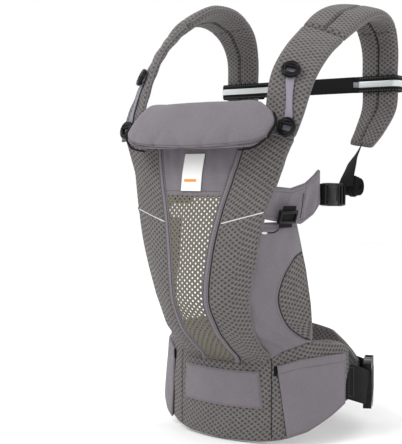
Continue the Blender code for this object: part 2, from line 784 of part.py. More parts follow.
# ---- head support ---------------------------------------------------------------------------------
PILLOW_HALF = 0.1250
PILLOW_SHIFT = 0.0130           # the folded pillow lies a little to the right
PILLOW_TOP = 0.4810
PILLOW_BOTTOM = 0.4085
HINGE = Vector((0.0, -0.0400, 0.4820))
PILLOW_LEAN = Vector((0.0, 0.42, 0.91)).normalized()


def make_head_support():
    """Padded pillow folded down over the panel's top; it turns about its top edge."""
    through = Vector((0, -PILLOW_LEAN.z, PILLOW_LEAN.y))
    rings = []
    stations = 20
    for k in range(stations + 1):
        s = -cos(pi * k / stations)
        end = max(0.0, (abs(s) - 0.68) / 0.32)
        top = PILLOW_TOP - (0.030 if s > 0 else 0.040) * end ** 1.7
        bottom = PILLOW_BOTTOM + 0.008 * s * s + (0.025 if s > 0 else 0.011) * end ** 3
        thick = 0.028 * max(1 - end ** 2 * 0.72, 0.2)
        height = (top - bottom) / PILLOW_LEAN.z * 0.97
        middle = (top + bottom) / 2
        y = -0.0600 + (middle - 0.4467) * PILLOW_LEAN.y / PILLOW_LEAN.z + 0.009 * s * s
        centre = Vector((PILLOW_SHIFT + s * PILLOW_HALF, y, middle)) + through * 0.0110
        rings.append(rounded_ring(centre, PILLOW_LEAN, through, height, thick, 16, 0.75))
    finish("head_support", loft_mesh("head_support", rings), GREY, 0.85, HINGE)


def make_elastic_loops():
    """Thin elastic across each end of the pillow, which hooks behind the lower ring button."""
    for side in (-1, 1):
        tip = PILLOW_HALF + side * PILLOW_SHIFT + 0.0018
        rings = []
        for k in range(5):
            point = Vector((tip, -0.0610, 0.4280 + 0.0210 * k / 4))
            rings.append(rounded_ring(point, Vector((1, 0, 0)), Vector((0, 1, 0)), 0.0022, 0.0030,
                                      8, 1.0))
        name = "elastic_loop_" + side_name(side)
        finish(name, loft_mesh(name, rings, side), BLACK, 0.7)


# ---- chest strap ----------------------------------------------------------------------------------
SLEEVE_HEIGHT = 0.025
SLEEVE_THICK = 0.0030


def make_chest_strap():
    """Sleeves that ride on the padded straps' backs, webbing and buckle between them."""
    pad_centre = Vector((0.130, 0.2515, 0))
    half_width, half_depth = 0.0345, 0.0140
    corner = 0.008

    def sleeve_route(end_x):
        """Round the pad from its back inner edge to its outer edge and along the front face."""
        x0, x1 = pad_centre.x - half_width, pad_centre.x + half_width
        front, back = pad_centre.y - half_depth, pad_centre.y + half_depth
        route = [(x0, back), ((x0 + x1) / 2, back), (x1 - corner, back)]
        for k in range(1, 4):
            a = pi / 2 * (1 - k / 4)
            route.append((x1 - corner + corner * cos(a), back - corner + corner * sin(a)))
        route.append((x1, pad_centre.y))
        for k in range(1, 4):
            a = -pi / 2 * k / 4
            route.append((x1 - corner + corner * cos(a), front + corner + corner * sin(a)))
        route += [(x1 - corner, front), (pad_centre.x, front), (x0, front), (end_x, CHEST_Y)]
        return route

    def sleeve(name, route, side):
        """A band of even thickness along a route seen from above."""
        count = len(route)
        lines = []
        for k in range(count):
            ahead, behind = route[min(k + 1, count - 1)], route[max(k - 1, 0)]
            along = Vector((ahead[0] - behind[0], ahead[1] - behind[1], 0)).normalized()
            outward = Vector((-along.y, along.x, 0))
            point = Vector((route[k][0], route[k][1], RAIL_HEIGHT))
            lines.append((point, outward))
        rings = []
        for point, outward in lines:
            h, t = SLEEVE_HEIGHT / 2, SLEEVE_THICK / 2
            rings.append([point + outward * t + Vector((0, 0, h)), point + outward * t - Vector((0, 0, h)),
                          point - outward * t - Vector((0, 0, h)), point - outward * t + Vector((0, 0, h))])
        finish(name, loft_mesh(name, rings, side), BLACK, 0.7)

    sleeve("chest_sleeve_right", sleeve_route(0.092), 1)
    sleeve("chest_sleeve_left", sleeve_route(0.056), -1)

    def surface(u, v):
        return Vector((0.0120 + (0.0910 - 0.0120) * u, CHEST_Y, RAIL_HEIGHT + (v - 0.5) * SIDE_WEB))

    mesh = slab_mesh("chest_webbing", surface, 6, 2, WEB_THICK, Vector((0, -1, 0)), WEB_THICK / 2)
    finish("chest_webbing", mesh, BLACK, 0.7)


def main():
    clear_scene()
    make_panel()
    make_tag()
    make_leg_area()
    make_belt()
    waist_webbing("waist_webbing_right", 74.0, 95.5, lambda a: 0.018 * (95 - a) / 21)
    waist_webbing("waist_webbing_left", 133.0, 150.0, lambda a: 0.0)
    make_straps()
    make_head_support()
    make_elastic_loops()
    make_chest_strap()
    waist_buckle().build()
    side_buckle().build(suffix="_right")
    side_buckle().build(mirrored=True, suffix="_left")
    chest_buckle().build()


main()
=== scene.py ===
import json
from math import asin, ceil, copysign, cos, degrees, exp, pi, radians, sin, tau

import bmesh
import bpy
import numpy as np
from mathutils import Matrix, Vector
from mathutils.bvhtree import BVHTree
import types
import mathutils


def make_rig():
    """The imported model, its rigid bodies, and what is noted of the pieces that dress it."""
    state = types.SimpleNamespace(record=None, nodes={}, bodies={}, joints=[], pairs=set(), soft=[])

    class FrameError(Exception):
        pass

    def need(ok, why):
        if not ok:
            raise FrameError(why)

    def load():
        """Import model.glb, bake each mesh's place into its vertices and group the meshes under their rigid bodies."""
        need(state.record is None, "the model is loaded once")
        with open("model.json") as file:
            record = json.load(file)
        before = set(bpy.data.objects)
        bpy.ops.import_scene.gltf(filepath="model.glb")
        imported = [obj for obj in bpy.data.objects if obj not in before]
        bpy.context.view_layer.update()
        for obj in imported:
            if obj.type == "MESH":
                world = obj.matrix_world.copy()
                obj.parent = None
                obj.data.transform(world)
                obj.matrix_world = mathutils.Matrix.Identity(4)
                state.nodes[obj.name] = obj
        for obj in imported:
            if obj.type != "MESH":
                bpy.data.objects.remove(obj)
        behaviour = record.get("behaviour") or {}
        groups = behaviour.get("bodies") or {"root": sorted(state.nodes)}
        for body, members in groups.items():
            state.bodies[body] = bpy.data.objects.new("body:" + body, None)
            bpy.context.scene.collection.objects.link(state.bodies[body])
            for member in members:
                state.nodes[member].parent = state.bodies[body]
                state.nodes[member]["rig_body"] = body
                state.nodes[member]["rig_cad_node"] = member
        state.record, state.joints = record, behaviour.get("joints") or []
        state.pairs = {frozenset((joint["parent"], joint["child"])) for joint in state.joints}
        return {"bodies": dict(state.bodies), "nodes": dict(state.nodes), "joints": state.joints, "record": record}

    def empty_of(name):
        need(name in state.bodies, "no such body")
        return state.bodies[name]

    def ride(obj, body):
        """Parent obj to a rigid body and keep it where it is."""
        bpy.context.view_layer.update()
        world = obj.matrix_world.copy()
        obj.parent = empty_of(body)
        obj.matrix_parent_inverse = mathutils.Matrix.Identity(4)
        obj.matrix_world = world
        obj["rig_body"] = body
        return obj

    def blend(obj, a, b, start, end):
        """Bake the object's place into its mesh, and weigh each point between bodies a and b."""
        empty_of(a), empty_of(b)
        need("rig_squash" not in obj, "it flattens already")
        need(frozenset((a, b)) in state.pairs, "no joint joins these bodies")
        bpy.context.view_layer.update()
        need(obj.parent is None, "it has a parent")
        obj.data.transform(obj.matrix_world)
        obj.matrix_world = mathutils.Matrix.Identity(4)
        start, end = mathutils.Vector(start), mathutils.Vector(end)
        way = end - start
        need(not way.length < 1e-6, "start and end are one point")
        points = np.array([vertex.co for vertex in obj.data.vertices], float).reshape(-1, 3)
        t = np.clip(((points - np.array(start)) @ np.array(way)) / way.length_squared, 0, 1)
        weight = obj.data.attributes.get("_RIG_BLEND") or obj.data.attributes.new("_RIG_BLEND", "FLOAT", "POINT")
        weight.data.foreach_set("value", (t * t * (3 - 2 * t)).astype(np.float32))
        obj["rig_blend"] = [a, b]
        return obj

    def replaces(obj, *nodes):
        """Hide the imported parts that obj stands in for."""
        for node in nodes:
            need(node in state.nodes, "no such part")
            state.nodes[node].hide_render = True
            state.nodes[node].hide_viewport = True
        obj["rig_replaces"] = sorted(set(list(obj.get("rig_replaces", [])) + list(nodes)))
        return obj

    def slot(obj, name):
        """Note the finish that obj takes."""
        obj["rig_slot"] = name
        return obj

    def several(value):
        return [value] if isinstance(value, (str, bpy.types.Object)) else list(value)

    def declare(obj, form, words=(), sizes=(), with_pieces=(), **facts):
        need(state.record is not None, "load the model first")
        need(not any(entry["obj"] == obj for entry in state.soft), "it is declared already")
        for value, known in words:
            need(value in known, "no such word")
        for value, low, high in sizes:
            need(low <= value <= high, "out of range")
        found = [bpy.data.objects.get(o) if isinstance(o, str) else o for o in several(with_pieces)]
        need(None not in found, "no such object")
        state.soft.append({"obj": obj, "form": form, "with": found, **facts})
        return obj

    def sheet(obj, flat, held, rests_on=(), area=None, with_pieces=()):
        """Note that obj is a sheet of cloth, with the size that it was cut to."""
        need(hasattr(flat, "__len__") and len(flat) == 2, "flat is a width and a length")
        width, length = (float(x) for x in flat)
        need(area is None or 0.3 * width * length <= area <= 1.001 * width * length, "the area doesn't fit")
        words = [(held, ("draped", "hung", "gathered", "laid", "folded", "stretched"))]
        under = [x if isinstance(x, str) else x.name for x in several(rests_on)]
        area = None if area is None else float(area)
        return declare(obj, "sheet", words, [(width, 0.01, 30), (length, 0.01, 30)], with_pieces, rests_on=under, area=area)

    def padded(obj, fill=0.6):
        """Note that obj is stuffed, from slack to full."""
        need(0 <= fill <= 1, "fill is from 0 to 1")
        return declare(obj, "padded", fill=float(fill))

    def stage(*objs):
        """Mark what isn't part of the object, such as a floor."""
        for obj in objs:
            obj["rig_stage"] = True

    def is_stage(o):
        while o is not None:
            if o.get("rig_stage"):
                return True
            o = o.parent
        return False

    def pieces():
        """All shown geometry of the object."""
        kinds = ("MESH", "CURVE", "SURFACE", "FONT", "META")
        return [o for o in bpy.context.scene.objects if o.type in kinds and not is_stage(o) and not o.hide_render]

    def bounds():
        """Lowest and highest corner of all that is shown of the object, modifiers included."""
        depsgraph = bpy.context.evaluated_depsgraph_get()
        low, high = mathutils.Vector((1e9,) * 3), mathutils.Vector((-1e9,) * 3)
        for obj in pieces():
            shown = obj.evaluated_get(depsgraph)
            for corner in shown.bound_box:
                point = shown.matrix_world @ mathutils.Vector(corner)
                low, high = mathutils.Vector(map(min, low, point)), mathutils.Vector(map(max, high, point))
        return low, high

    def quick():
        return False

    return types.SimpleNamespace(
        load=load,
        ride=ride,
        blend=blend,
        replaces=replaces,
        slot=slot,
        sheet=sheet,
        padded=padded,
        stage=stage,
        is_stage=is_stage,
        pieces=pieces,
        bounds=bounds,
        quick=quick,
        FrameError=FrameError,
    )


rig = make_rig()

# The looks of a soft structured baby carrier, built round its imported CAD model.
# Metres, +Z up; X = 0 is the plane of symmetry, the panel faces -Y and the wearer stands at +Y.
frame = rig.load()
CAD_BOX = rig.bounds()
UP = Vector((0, 0, 1))
BODY_OF = {node: body for body, nodes in frame["record"]["behaviour"]["bodies"].items()
           for node in nodes}
PITCH = 0.0026 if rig.quick() else 0.00125       # spacing of the fine grids' points

# ---- sizes of the object, as its CAD model has them ------
BELT_A, BELT_B = 0.165, 0.133                   # half width and half depth of the belt's ring
BELT_ENDS = (-222.0, 76.0)                      # degrees round the ring from the front centre
BELT_THICK = 0.012
BELT_SEAMS = (-100.0, -29.0, 29.0)              # degrees round the ring of its upright seams
WEB_HEIGHT, WEB_OUT = 0.068, 0.0015             # middle of the waist webbing, and how far outside
WAIST_WEB, SIDE_WEB, WEB_THICK = 0.050, 0.025, 0.0016
MESH_THICK, CLOTH_THICK = 0.006, 0.004
TAPE_WIDTH = 0.009
PANEL_BASE, PANEL_TOP, WINDOW_TOP, YOKE_BASE = 0.118, 0.476, 0.354, 0.433
STRAP_SPLIT = 4.1
SEWN = 0.004                                    # what a piece turns in where it is sewn to the belt
RAIL_HEIGHT = 0.524
WING_TOP = 0.317
WING_BULGE, TAB_BULGE = 0.024, 0.012            # how far they bow out, times u (1 - u)

# Height, centre line depth, half width, how far the edge sits behind the centre, trim tape offset.
PANEL_ROWS = [
    (0.118, 0.004, 0.079, 0.012, 0.029),
    (0.140, -0.022, 0.075, 0.016, 0.029),
    (0.165, -0.050, 0.077, 0.024, 0.029),
    (0.210, -0.074, 0.082, 0.031, 0.028),
    (0.280, -0.072, 0.099, 0.023, 0.035),
    (0.334, -0.065, 0.110, 0.017, 0.046),
    (0.385, -0.058, 0.126, 0.021, 0.060),
    (0.414, -0.050, 0.137, 0.014, 0.068),
    (0.450, -0.041, 0.153, 0.010, 0.077),
    (0.478, -0.030, 0.160, 0.006, 0.084),
]
# Shoulder strap, panel to back: X, Y, Z, turn of its width in plan, drop of its outer edge, width,
# thickness. Angles are in degrees.
STRAP_ROWS = [
    (0.1260, -0.0410, 0.4360, 10, 0, 0.048, 0.007),
    (0.1300, -0.0290, 0.4700, 20, 0, 0.052, 0.009),
    (0.1270, -0.0050, 0.5180, 27, 2, 0.059, 0.012),
    (0.1260, 0.0290, 0.5580, 29, 6, 0.061, 0.013),
    (0.1240, 0.0680, 0.5880, 27, 10, 0.064, 0.015),
    (0.1230, 0.1080, 0.6130, 20, 12, 0.070, 0.019),
    (0.1250, 0.1500, 0.6290, 12, 12, 0.070, 0.020),
    (0.1270, 0.1950, 0.6310, 6, 10, 0.070, 0.021),
    (0.1290, 0.2330, 0.6140, 0, 5, 0.066, 0.021),
    (0.1300, 0.2510, 0.5800, 0, 0, 0.060, 0.020),
    (0.1300, 0.2520, 0.5350, 0, 0, 0.058, 0.020),
    (0.1300, 0.2510, 0.4900, 0, 0, 0.057, 0.020),
    (0.1230, 0.2330, 0.4530, -4, 0, 0.050, 0.018),
    (0.1160, 0.2150, 0.4280, -6, 0, 0.042, 0.014),
]
CROWN_SHIFT = {1: (0.012, -0.008), -1: (-0.011, 0.010)}
CROWN_START, CROWN_END = 1.0, 9.0
SHOULDER_TURN = {1: 0.0, -1: 12.0}              # extra turn of the left strap where it climbs
# Belt: degrees from the front centre, height of the bottom edge, height of the top edge.
BELT_ROWS = [
    (-222, 0.050, 0.088), (-214, 0.042, 0.102), (-196, 0.038, 0.129), (-170, 0.040, 0.140),
    (-140, 0.046, 0.142), (-110, 0.054, 0.143), (-84, 0.058, 0.144), (-62, 0.038, 0.146),
    (-48, 0.017, 0.146), (-34, 0.005, 0.134), (-29, 0.003, 0.126), (-22, 0.001, 0.1145),
    (0, 0.000, 0.1145),
    (22, 0.001, 0.1145), (29, 0.003, 0.126), (34, 0.005, 0.134), (48, 0.017, 0.146),
    (62, 0.038, 0.146), (71, 0.053, 0.141), (80, 0.060, 0.128),
]
WING_BACK = [(0.145, 0.128, 0.0500), (0.200, 0.125, 0.0505), (0.250, 0.118, 0.0490),
             (0.317, 0.106, 0.0420)]
TAB_ROWS = [(0.0, 0.326, 0.367), (0.35, 0.319, 0.364), (0.65, 0.317, 0.371), (0.88, 0.330, 0.383),
            (1.0, 0.343, 0.390)]
TAB_BACK = Vector((0.135, 0.058, 0.0))
SEAT_STRAP_RISE = 0.0065                        # the seat strap sits this far above the gap's middle
ROLL_MIDDLE = Vector((0.1420, 0.1425, 0.3665))  # of the adjuster webbing's rolled-up tail
ADJUSTER_ROUTE = [(0.1160, 0.2100, 0.4220), (0.1200, 0.1920, 0.4140), (0.1260, 0.1700, 0.4040),
                  (0.1330, 0.1500, 0.3930), (0.1380, 0.1320, 0.3800), (0.1398, 0.1215, 0.3660)]

# ---- the photo's view ------------------------------------
VIEW_AZIMUTH, VIEW_ELEVATION, VIEW_DISTANCE = 34.0, 3.5, 1.45
VIEW_TARGET = Vector((0.0, 0.08, 0.30))
LENS, SHIFT_X, SHIFT_Y = 77.84, -0.110, 0.018

# ---- cloth patterns --------------------------------------
DIMPLE_PERIOD = (0.0098, 0.0074)                # spacing of the spacer mesh's hollows
DIMPLE_RADIUS = (0.0022, 0.0018)
NET_PERIOD = (0.0088, 0.0080)                   # spacing of the window net's holes
NET_HOLE = (0.00165, 0.00160)
PICK_PERIOD = 0.0008                            # the picks that cross webbing's ribs
BAND_LOW, BAND_HIGH, BAND_MIDDLE, BAND_HALF = 0.0125, 0.0165, 0.0155, 0.0105   # band on the label


# ---- reading the tables ----------------------------------
def held(value, low=0.0, high=1.0):
    return min(max(value, low), high)


def smooth_step(f):
    return f * f * (3 - 2 * f)


def between(a, b, c, d, f):
    """Catmull-Rom: from b at f = 0 to c at f = 1, with a and d as the neighbours."""
    return 0.5 * (2 * b + (c - a) * f + (2 * a - 5 * b + 4 * c - d) * f * f
                  + (3 * b - a - 3 * c + d) * f ** 3)


def spline(rows, t):
    """Read a table of rows at place t, 0 at the first row, on a smooth curve."""
    last = len(rows) - 1
    t = held(t, 0.0, float(last))
    i = min(int(t), last - 1)
    near = [rows[held(k, 0, last)] for k in range(i - 1, i + 3)]
    return [between(*values, t - i) for values in zip(*near)]


def lookup(rows, key):
    """Read a table whose first column rises steadily, at the value `key` of that column."""
    key = held(key, rows[0][0], rows[-1][0])
    for low, high in zip(rows, rows[1:]):
        if key <= high[0]:
            f = (key - low[0]) / (high[0] - low[0])
            return [a + (b - a) * f for a, b in zip(low, high)]
    return list(rows[-1])


def panel_row(z):
    z = held(z, PANEL_ROWS[0][0], PANEL_ROWS[-1][0])
    i = max(k for k in range(len(PANEL_ROWS) - 1) if PANEL_ROWS[k][0] <= z)
    f = (z - PANEL_ROWS[i][0]) / (PANEL_ROWS[i + 1][0] - PANEL_ROWS[i][0])
    return spline(PANEL_ROWS, i + f)


def panel_point(x, z):
    _, centre, half, recess, _ = panel_row(z)
    return Vector((x, centre + recess * (x / half) ** 2, z))


def panel_normal(x, z, step=0.0015):
    along_x = panel_point(x + step, z) - panel_point(x - step, z)
    along_z = panel_point(x, z + step) - panel_point(x, z - step)
    n = along_x.cross(along_z).normalized()
    return n if n.y < 0 else -n


def belt_point(angle, z, out=0.0):
    a = radians(angle)
    normal = Vector((BELT_B * sin(a), -BELT_A * cos(a), 0.0)).normalized()
    return Vector((BELT_A * sin(a), BELT_B * (1 - cos(a)), z)) + normal * out


def belt_edges(angle):
    return lookup(BELT_ROWS, angle)[1:]


def belt_top_at(x):
    return belt_edges(degrees(asin(held(abs(x) / BELT_A))))[1]


def strap_centre(t, side):
    x, y, z = spline(STRAP_ROWS, t)[:3]
    f = held((t - CROWN_START) / (CROWN_END - CROWN_START))
    shift_y, shift_z = CROWN_SHIFT[side]
    crown = sin(pi * f) ** 2
    return Vector((x, y + shift_y * crown, z + shift_z * crown))


def strap_frame(t, side):
    """Centre, direction along, direction across, outward normal, width and thickness at place t."""
    turn, drop, width, thick = spline(STRAP_ROWS, t)[3:]
    along = (strap_centre(t + 0.05, side) - strap_centre(t - 0.05, side)).normalized()
    turn += SHOULDER_TURN[side] * sin(pi * held(t / 5)) ** 2
    turn, drop = radians(turn), radians(drop)
    across = Vector((cos(turn) * cos(drop), sin(turn) * cos(drop), -sin(drop)))
    across = (across - along * across.dot(along)).normalized()
    return strap_centre(t, side), along, across, across.cross(along), width, thick


def behind_edge(z):
    half = panel_row(z)[2]
    return panel_point(half - 0.0015, z) - panel_normal(half - 0.0015, z) * (MESH_THICK + 0.0010)


def wing_foot(u):
    """Where on the belt the wing's foot stands: distance from the middle, and height."""
    foot = 0.080 + 0.047 * u
    return foot, belt_top_at(foot) + 0.0035


def wing_point(u, v):
    """u runs from the panel seam to the back edge, v from the belt to the top edge."""
    foot, low = wing_foot(u)
    z = low + (WING_TOP - low) * v
    _, back_x, back_y = lookup(WING_BACK, z)
    point = behind_edge(z).lerp(Vector((back_x, back_y, z)), u)
    point = point.lerp(belt_point(degrees(asin(foot / BELT_A)), z), max(0.0, 1 - v * 6) ** 2)
    point.x += WING_BULGE * u * (1 - u) * min(1.0, v * 3)
    return point


def tab_point(u, v):
    """u runs from the panel edge back to the buckle, v from the bottom edge to the top edge."""
    _, low, high = lookup(TAB_ROWS, u)
    z = low + (high - low) * v
    point = behind_edge(z).lerp(Vector((TAB_BACK.x, TAB_BACK.y, z)), u)
    point.x += TAB_BULGE * u * (1 - u)
    return point


# ---- materials -------------------------------------------
class Shader:
    """Short calls that build one material's nodes."""

    def __init__(self, name, roughness, specular=0.3, sheen=0.0, metallic=0.0):
        self.mat = bpy.data.materials.new(name)
        self.mat.use_nodes = True
        self.tree = self.mat.node_tree
        self.bsdf = self.tree.nodes["Principled BSDF"]
        self.put(roughness, self.bsdf.inputs["Roughness"])
        self.put(specular, self.bsdf.inputs["Specular IOR Level"])
        self.put(sheen, self.bsdf.inputs["Sheen Weight"])
        self.put(metallic, self.bsdf.inputs["Metallic"])

    def put(self, value, socket):
        if isinstance(value, bpy.types.NodeSocket):
            self.tree.links.new(value, socket)
        elif socket.type == "RGBA" and len(value) == 3:
            socket.default_value = (*value, 1.0)
        else:
            socket.default_value = value

    def math(self, operation, *values, clamp=False):
        node = self.tree.nodes.new("ShaderNodeMath")
        node.operation = operation
        node.use_clamp = clamp
        for value, socket in zip(values, node.inputs):
            self.put(value, socket)
        return node.outputs[0]

    def vector(self, operation, *values):
        node = self.tree.nodes.new("ShaderNodeVectorMath")
        node.operation = operation
        for value, socket in zip(values, node.inputs):
            self.put(value, socket)
        return node.outputs["Value" if operation == "LENGTH" else "Vector"]

    def uv(self):
        node = self.tree.nodes.new("ShaderNodeUVMap")
        node.uv_map = "cloth"
        return node.outputs[0]

    def place(self):
        return self.tree.nodes.new("ShaderNodeTexCoord").outputs["Object"]

    def noise(self, scale, detail=2.0, where=None):
        node = self.tree.nodes.new("ShaderNodeTexNoise")
        self.put(where if where is not None else self.place(), node.inputs["Vector"])
        self.put(scale, node.inputs["Scale"])
        self.put(detail, node.inputs["Detail"])
        return node.outputs["Fac"]

    def span(self, value, low, high, out_low, out_high):
        node = self.tree.nodes.new("ShaderNodeMapRange")
        for item, socket in zip((value, low, high, out_low, out_high), node.inputs):
            self.put(item, socket)
        return node.outputs[0]

    def mix(self, factor, first, second):
        node = self.tree.nodes.new("ShaderNodeMix")
        node.data_type = "RGBA"
        self.put(factor, node.inputs["Factor"])
        colours = [socket for socket in node.inputs if socket.type == "RGBA"]
        for value, socket in zip((first, second), colours):
            self.put(value, socket)
        return [s for s in node.outputs if s.type == "RGBA"][0]

    def sum_of(self, *shares):
        """A weighted sum, held between 0 and 1; each share is a value and its weight."""
        total = None
        for n, (value, weight) in enumerate(shares):
            term = self.math("MULTIPLY", value, weight)
            last = n == len(shares) - 1
            total = term if total is None else self.math("ADD", total, term, clamp=last)
        return total

    def lengths(self):
        """The piece's own lengths, across and along."""
        node = self.tree.nodes.new("ShaderNodeSeparateXYZ")
        self.put(self.uv(), node.inputs[0])
        return node.outputs[:2]

    def weave(self, period):
        """Height of a plain weave, 0 to 1, drawn in the piece's own lengths."""
        parts = self.tree.nodes.new("ShaderNodeSeparateXYZ")
        self.put(self.vector("MULTIPLY", self.uv(), (tau / period, tau / period, 0.0)), parts.inputs[0])
        product = self.math("MULTIPLY", self.math("SINE", parts.outputs[0]),
                            self.math("SINE", parts.outputs[1]))
        return self.math("MULTIPLY_ADD", product, 0.5, 0.5)

    def lattice(self, period, radius, shift):
        """Distance to the nearest point of a lattice, 1 on the rim of its oval hollow."""
        scale = (1 / period[0], 1 / period[1], 0.0)
        cell = self.vector("FRACTION", self.vector("MULTIPLY_ADD", self.uv(), scale,
                                                   (shift + 0.5, shift + 0.5, 0.0)))
        oval = self.vector("MULTIPLY", self.vector("SUBTRACT", cell, (0.5, 0.5, 0.0)),
                           (period[0] / radius[0], period[1] / radius[1], 0.0))
        return self.vector("LENGTH", oval)

    def hollows(self, period, radius, soft):
        """1 in the middle of a staggered pattern's hollows and 0 between them."""
        nearest = self.math("MINIMUM", self.lattice(period, radius, 0.0),
                            self.lattice(period, radius, 0.5))
        return self.span(nearest, 1.0 - soft, 1.0 + soft, 1.0, 0.0)

    def bump(self, height, distance, strength=1.0):
        node = self.tree.nodes.new("ShaderNodeBump")
        self.put(strength, node.inputs["Strength"])
        self.put(distance, node.inputs["Distance"])
        self.put(height, node.inputs["Height"])
        self.put(node.outputs[0], self.bsdf.inputs["Normal"])

    def colour(self, value):
        self.put(value, self.bsdf.inputs["Base Color"])
        return self.mat


def plain_cloth(name, light, dark, period=0.0009):
    """Brushed plain-woven cover cloth: a fine weave with flecks and slow changes of tone."""
    s = Shader(name, 0.88, 0.25, 0.18)
    weave = s.weave(period)
    fleck = s.span(s.noise(900.0, 3.0), 0.30, 0.70, 0.0, 1.0)
    cloud = s.noise(22.0, 2.0)
    s.bump(s.math("ADD", weave, fleck), 0.00022, 0.7)
    return s.colour(s.mix(s.sum_of((weave, 0.30), (fleck, 0.55), (cloud, 0.35)), dark, light))


def spacer_cloth(name, rib, shade, hollow):
    """Knitted spacer mesh: raised ribs round staggered oval hollows, with painted shade in the hollows."""
    s = Shader(name, 0.9, 0.22, 0.15)
    mask = s.hollows(DIMPLE_PERIOD, DIMPLE_RADIUS, 0.32)
    knit = s.weave(0.0018)
    fleck = s.span(s.noise(640.0, 3.0), 0.36, 0.64, 0.0, 1.0)
    tone = s.sum_of((knit, 0.45), (fleck, 0.55))
    depth = s.math("SUBTRACT", s.math("MULTIPLY", s.math("ADD", knit, fleck), 0.18), mask)
    s.bump(depth, 0.0006, 0.6)
    # The hollow colour is painted shade, laid into the hollows by the mask.
    return s.colour(s.mix(mask, s.mix(tone, shade, rib), hollow))


def net_cloth():
    """Warp-knitted window net: taupe cords with a twist."""
    s = Shader("window_net_cloth", 0.85, 0.25, 0.1)
    knit = s.weave(0.0010)
    fleck = s.noise(1000.0, 3.0)
    s.bump(s.math("ADD", knit, fleck), 0.0004, 0.8)
    dark, light = (0.085, 0.076, 0.062), (0.235, 0.212, 0.172)
    return s.colour(s.mix(s.sum_of((knit, 0.5), (fleck, 0.5)), dark, light))


def webbing(name, light, dark, rib=0.0016, roughness=0.75, specular=0.3):
    """Woven tape: ribs along its length crossed by fine picks."""
    s = Shader(name, roughness, specular)
    across, along = s.lengths()
    ribs = s.math("SINE", s.math("MULTIPLY", across, tau / rib))
    picks = s.math("SINE", s.math("MULTIPLY", along, tau / PICK_PERIOD))
    height = s.math("MULTIPLY_ADD", s.math("ADD", ribs, s.math("MULTIPLY", picks, 0.5)), 0.33, 0.5)
    fleck = s.noise(1200.0, 2.0)
    s.bump(height, 0.0003, 0.8)
    return s.colour(s.mix(s.sum_of((height, 0.6), (fleck, 0.4)), dark, light))


def moulded_plastic(name, roughness, specular):
    """Acetal: a faint moulded grain, duller patches and slight handling wear."""
    s = Shader(name, roughness, specular)
    grain = s.noise(1500.0, 2.0)
    cloud = s.noise(60.0, 3.0)
    s.put(s.span(cloud, 0.3, 0.7, roughness - 0.06, roughness + 0.10), s.bsdf.inputs["Roughness"])
    s.bump(grain, 0.00006, 0.5)
    return s.colour(s.mix(cloud, (0.004, 0.004, 0.005), (0.010, 0.010, 0.011)))


def reflective_tape():
    """Silver reflective strip: glass-bead grain over a grey backing."""
    s = Shader("reflective_tape", 0.38, 0.6, 0.0, 0.35)
    beads = s.noise(2500.0, 1.0)
    s.bump(beads, 0.0001, 0.5)
    return s.colour(s.mix(beads, (0.46, 0.49, 0.49), (0.74, 0.77, 0.77)))


def tag_cloth():
    """White damask label with a plain orange band woven near its foot."""
    s = Shader("white_tag", 0.6, 0.3, 0.1)
    across, along = s.lengths()
    above = s.math("GREATER_THAN", along, BAND_LOW)
    below = s.math("LESS_THAN", along, BAND_HIGH)
    off_middle = s.math("ABSOLUTE", s.math("SUBTRACT", across, BAND_MIDDLE))
    inside = s.math("LESS_THAN", off_middle, BAND_HALF)
    band = s.math("MULTIPLY", s.math("MULTIPLY", above, below), inside)
    weave = s.weave(0.0007)
    s.bump(weave, 0.00015, 0.6)
    white = s.mix(weave, (0.74, 0.74, 0.73), (0.88, 0.88, 0.87))
    return s.colour(s.mix(band, white, (0.80, 0.27, 0.03)))


def pale_floor(name, tone):
    s = Shader(name, 0.9, 0.1)
    return s.colour(s.mix(s.noise(3.0, 1.0), (tone - 0.01,) * 3, (tone,) * 3))


GREY = plain_cloth("grey_cloth", (0.200, 0.180, 0.202), (0.104, 0.093, 0.106))
SEAM = plain_cloth("seam_binding", (0.185, 0.165, 0.178), (0.100, 0.088, 0.096), 0.0007)
# The last colour is painted shade for the mesh's hollows.
MESH = spacer_cloth("spacer_mesh", (0.200, 0.188, 0.178), (0.076, 0.070, 0.067),
                    (0.052, 0.048, 0.054))
NET = net_cloth()
BLACK_WEB = webbing("black_webbing", (0.015, 0.015, 0.016), (0.004, 0.004, 0.005), 0.0016, 0.7, 0.08)
GREY_WEB = webbing("grey_webbing", (0.300, 0.285, 0.345), (0.150, 0.140, 0.172))
# Near-black cords laid along seams, grooves and edges: painted shade of those seams and edges.
SEAM_SHADE = webbing("painted_seam_shade", (0.030, 0.028, 0.030), (0.010, 0.009, 0.010), 0.0007, 0.8)
THREAD = webbing("thread", (0.115, 0.104, 0.110), (0.060, 0.054, 0.058), 0.0006, 0.7)
SILVER = reflective_tape()
TAG = tag_cloth()
PLASTIC = moulded_plastic("black_plastic", 0.24, 0.12)
GLOSS = moulded_plastic("ring_plastic", 0.13, 0.16)
# The record's slot for a piece of each material, where the piece names no other.
SLOT_OF = {GREY: "grey_fabric", SEAM: "grey_fabric", THREAD: "grey_fabric", GREY_WEB: "grey_fabric",
           MESH: "spacer_mesh", NET: "window_mesh", BLACK_WEB: "black_webbing", SEAM_SHADE: "black_webbing",
           SILVER: "white_tag", TAG: "white_tag", PLASTIC: "black_plastic", GLOSS: "black_plastic"}


# ---- building meshes -------------------------------------
def put_uv(mesh, uv):
    """Lay lengths in metres on the mesh, one pair a vertex, for the weaves."""
    layer = mesh.uv_layers.new(name="cloth")
    loops = np.empty(len(mesh.loops), np.int32)
    mesh.loops.foreach_get("vertex_index", loops)
    layer.data.foreach_set("uv", np.asarray(uv, np.float32).reshape(-1, 2)[loops].ravel())


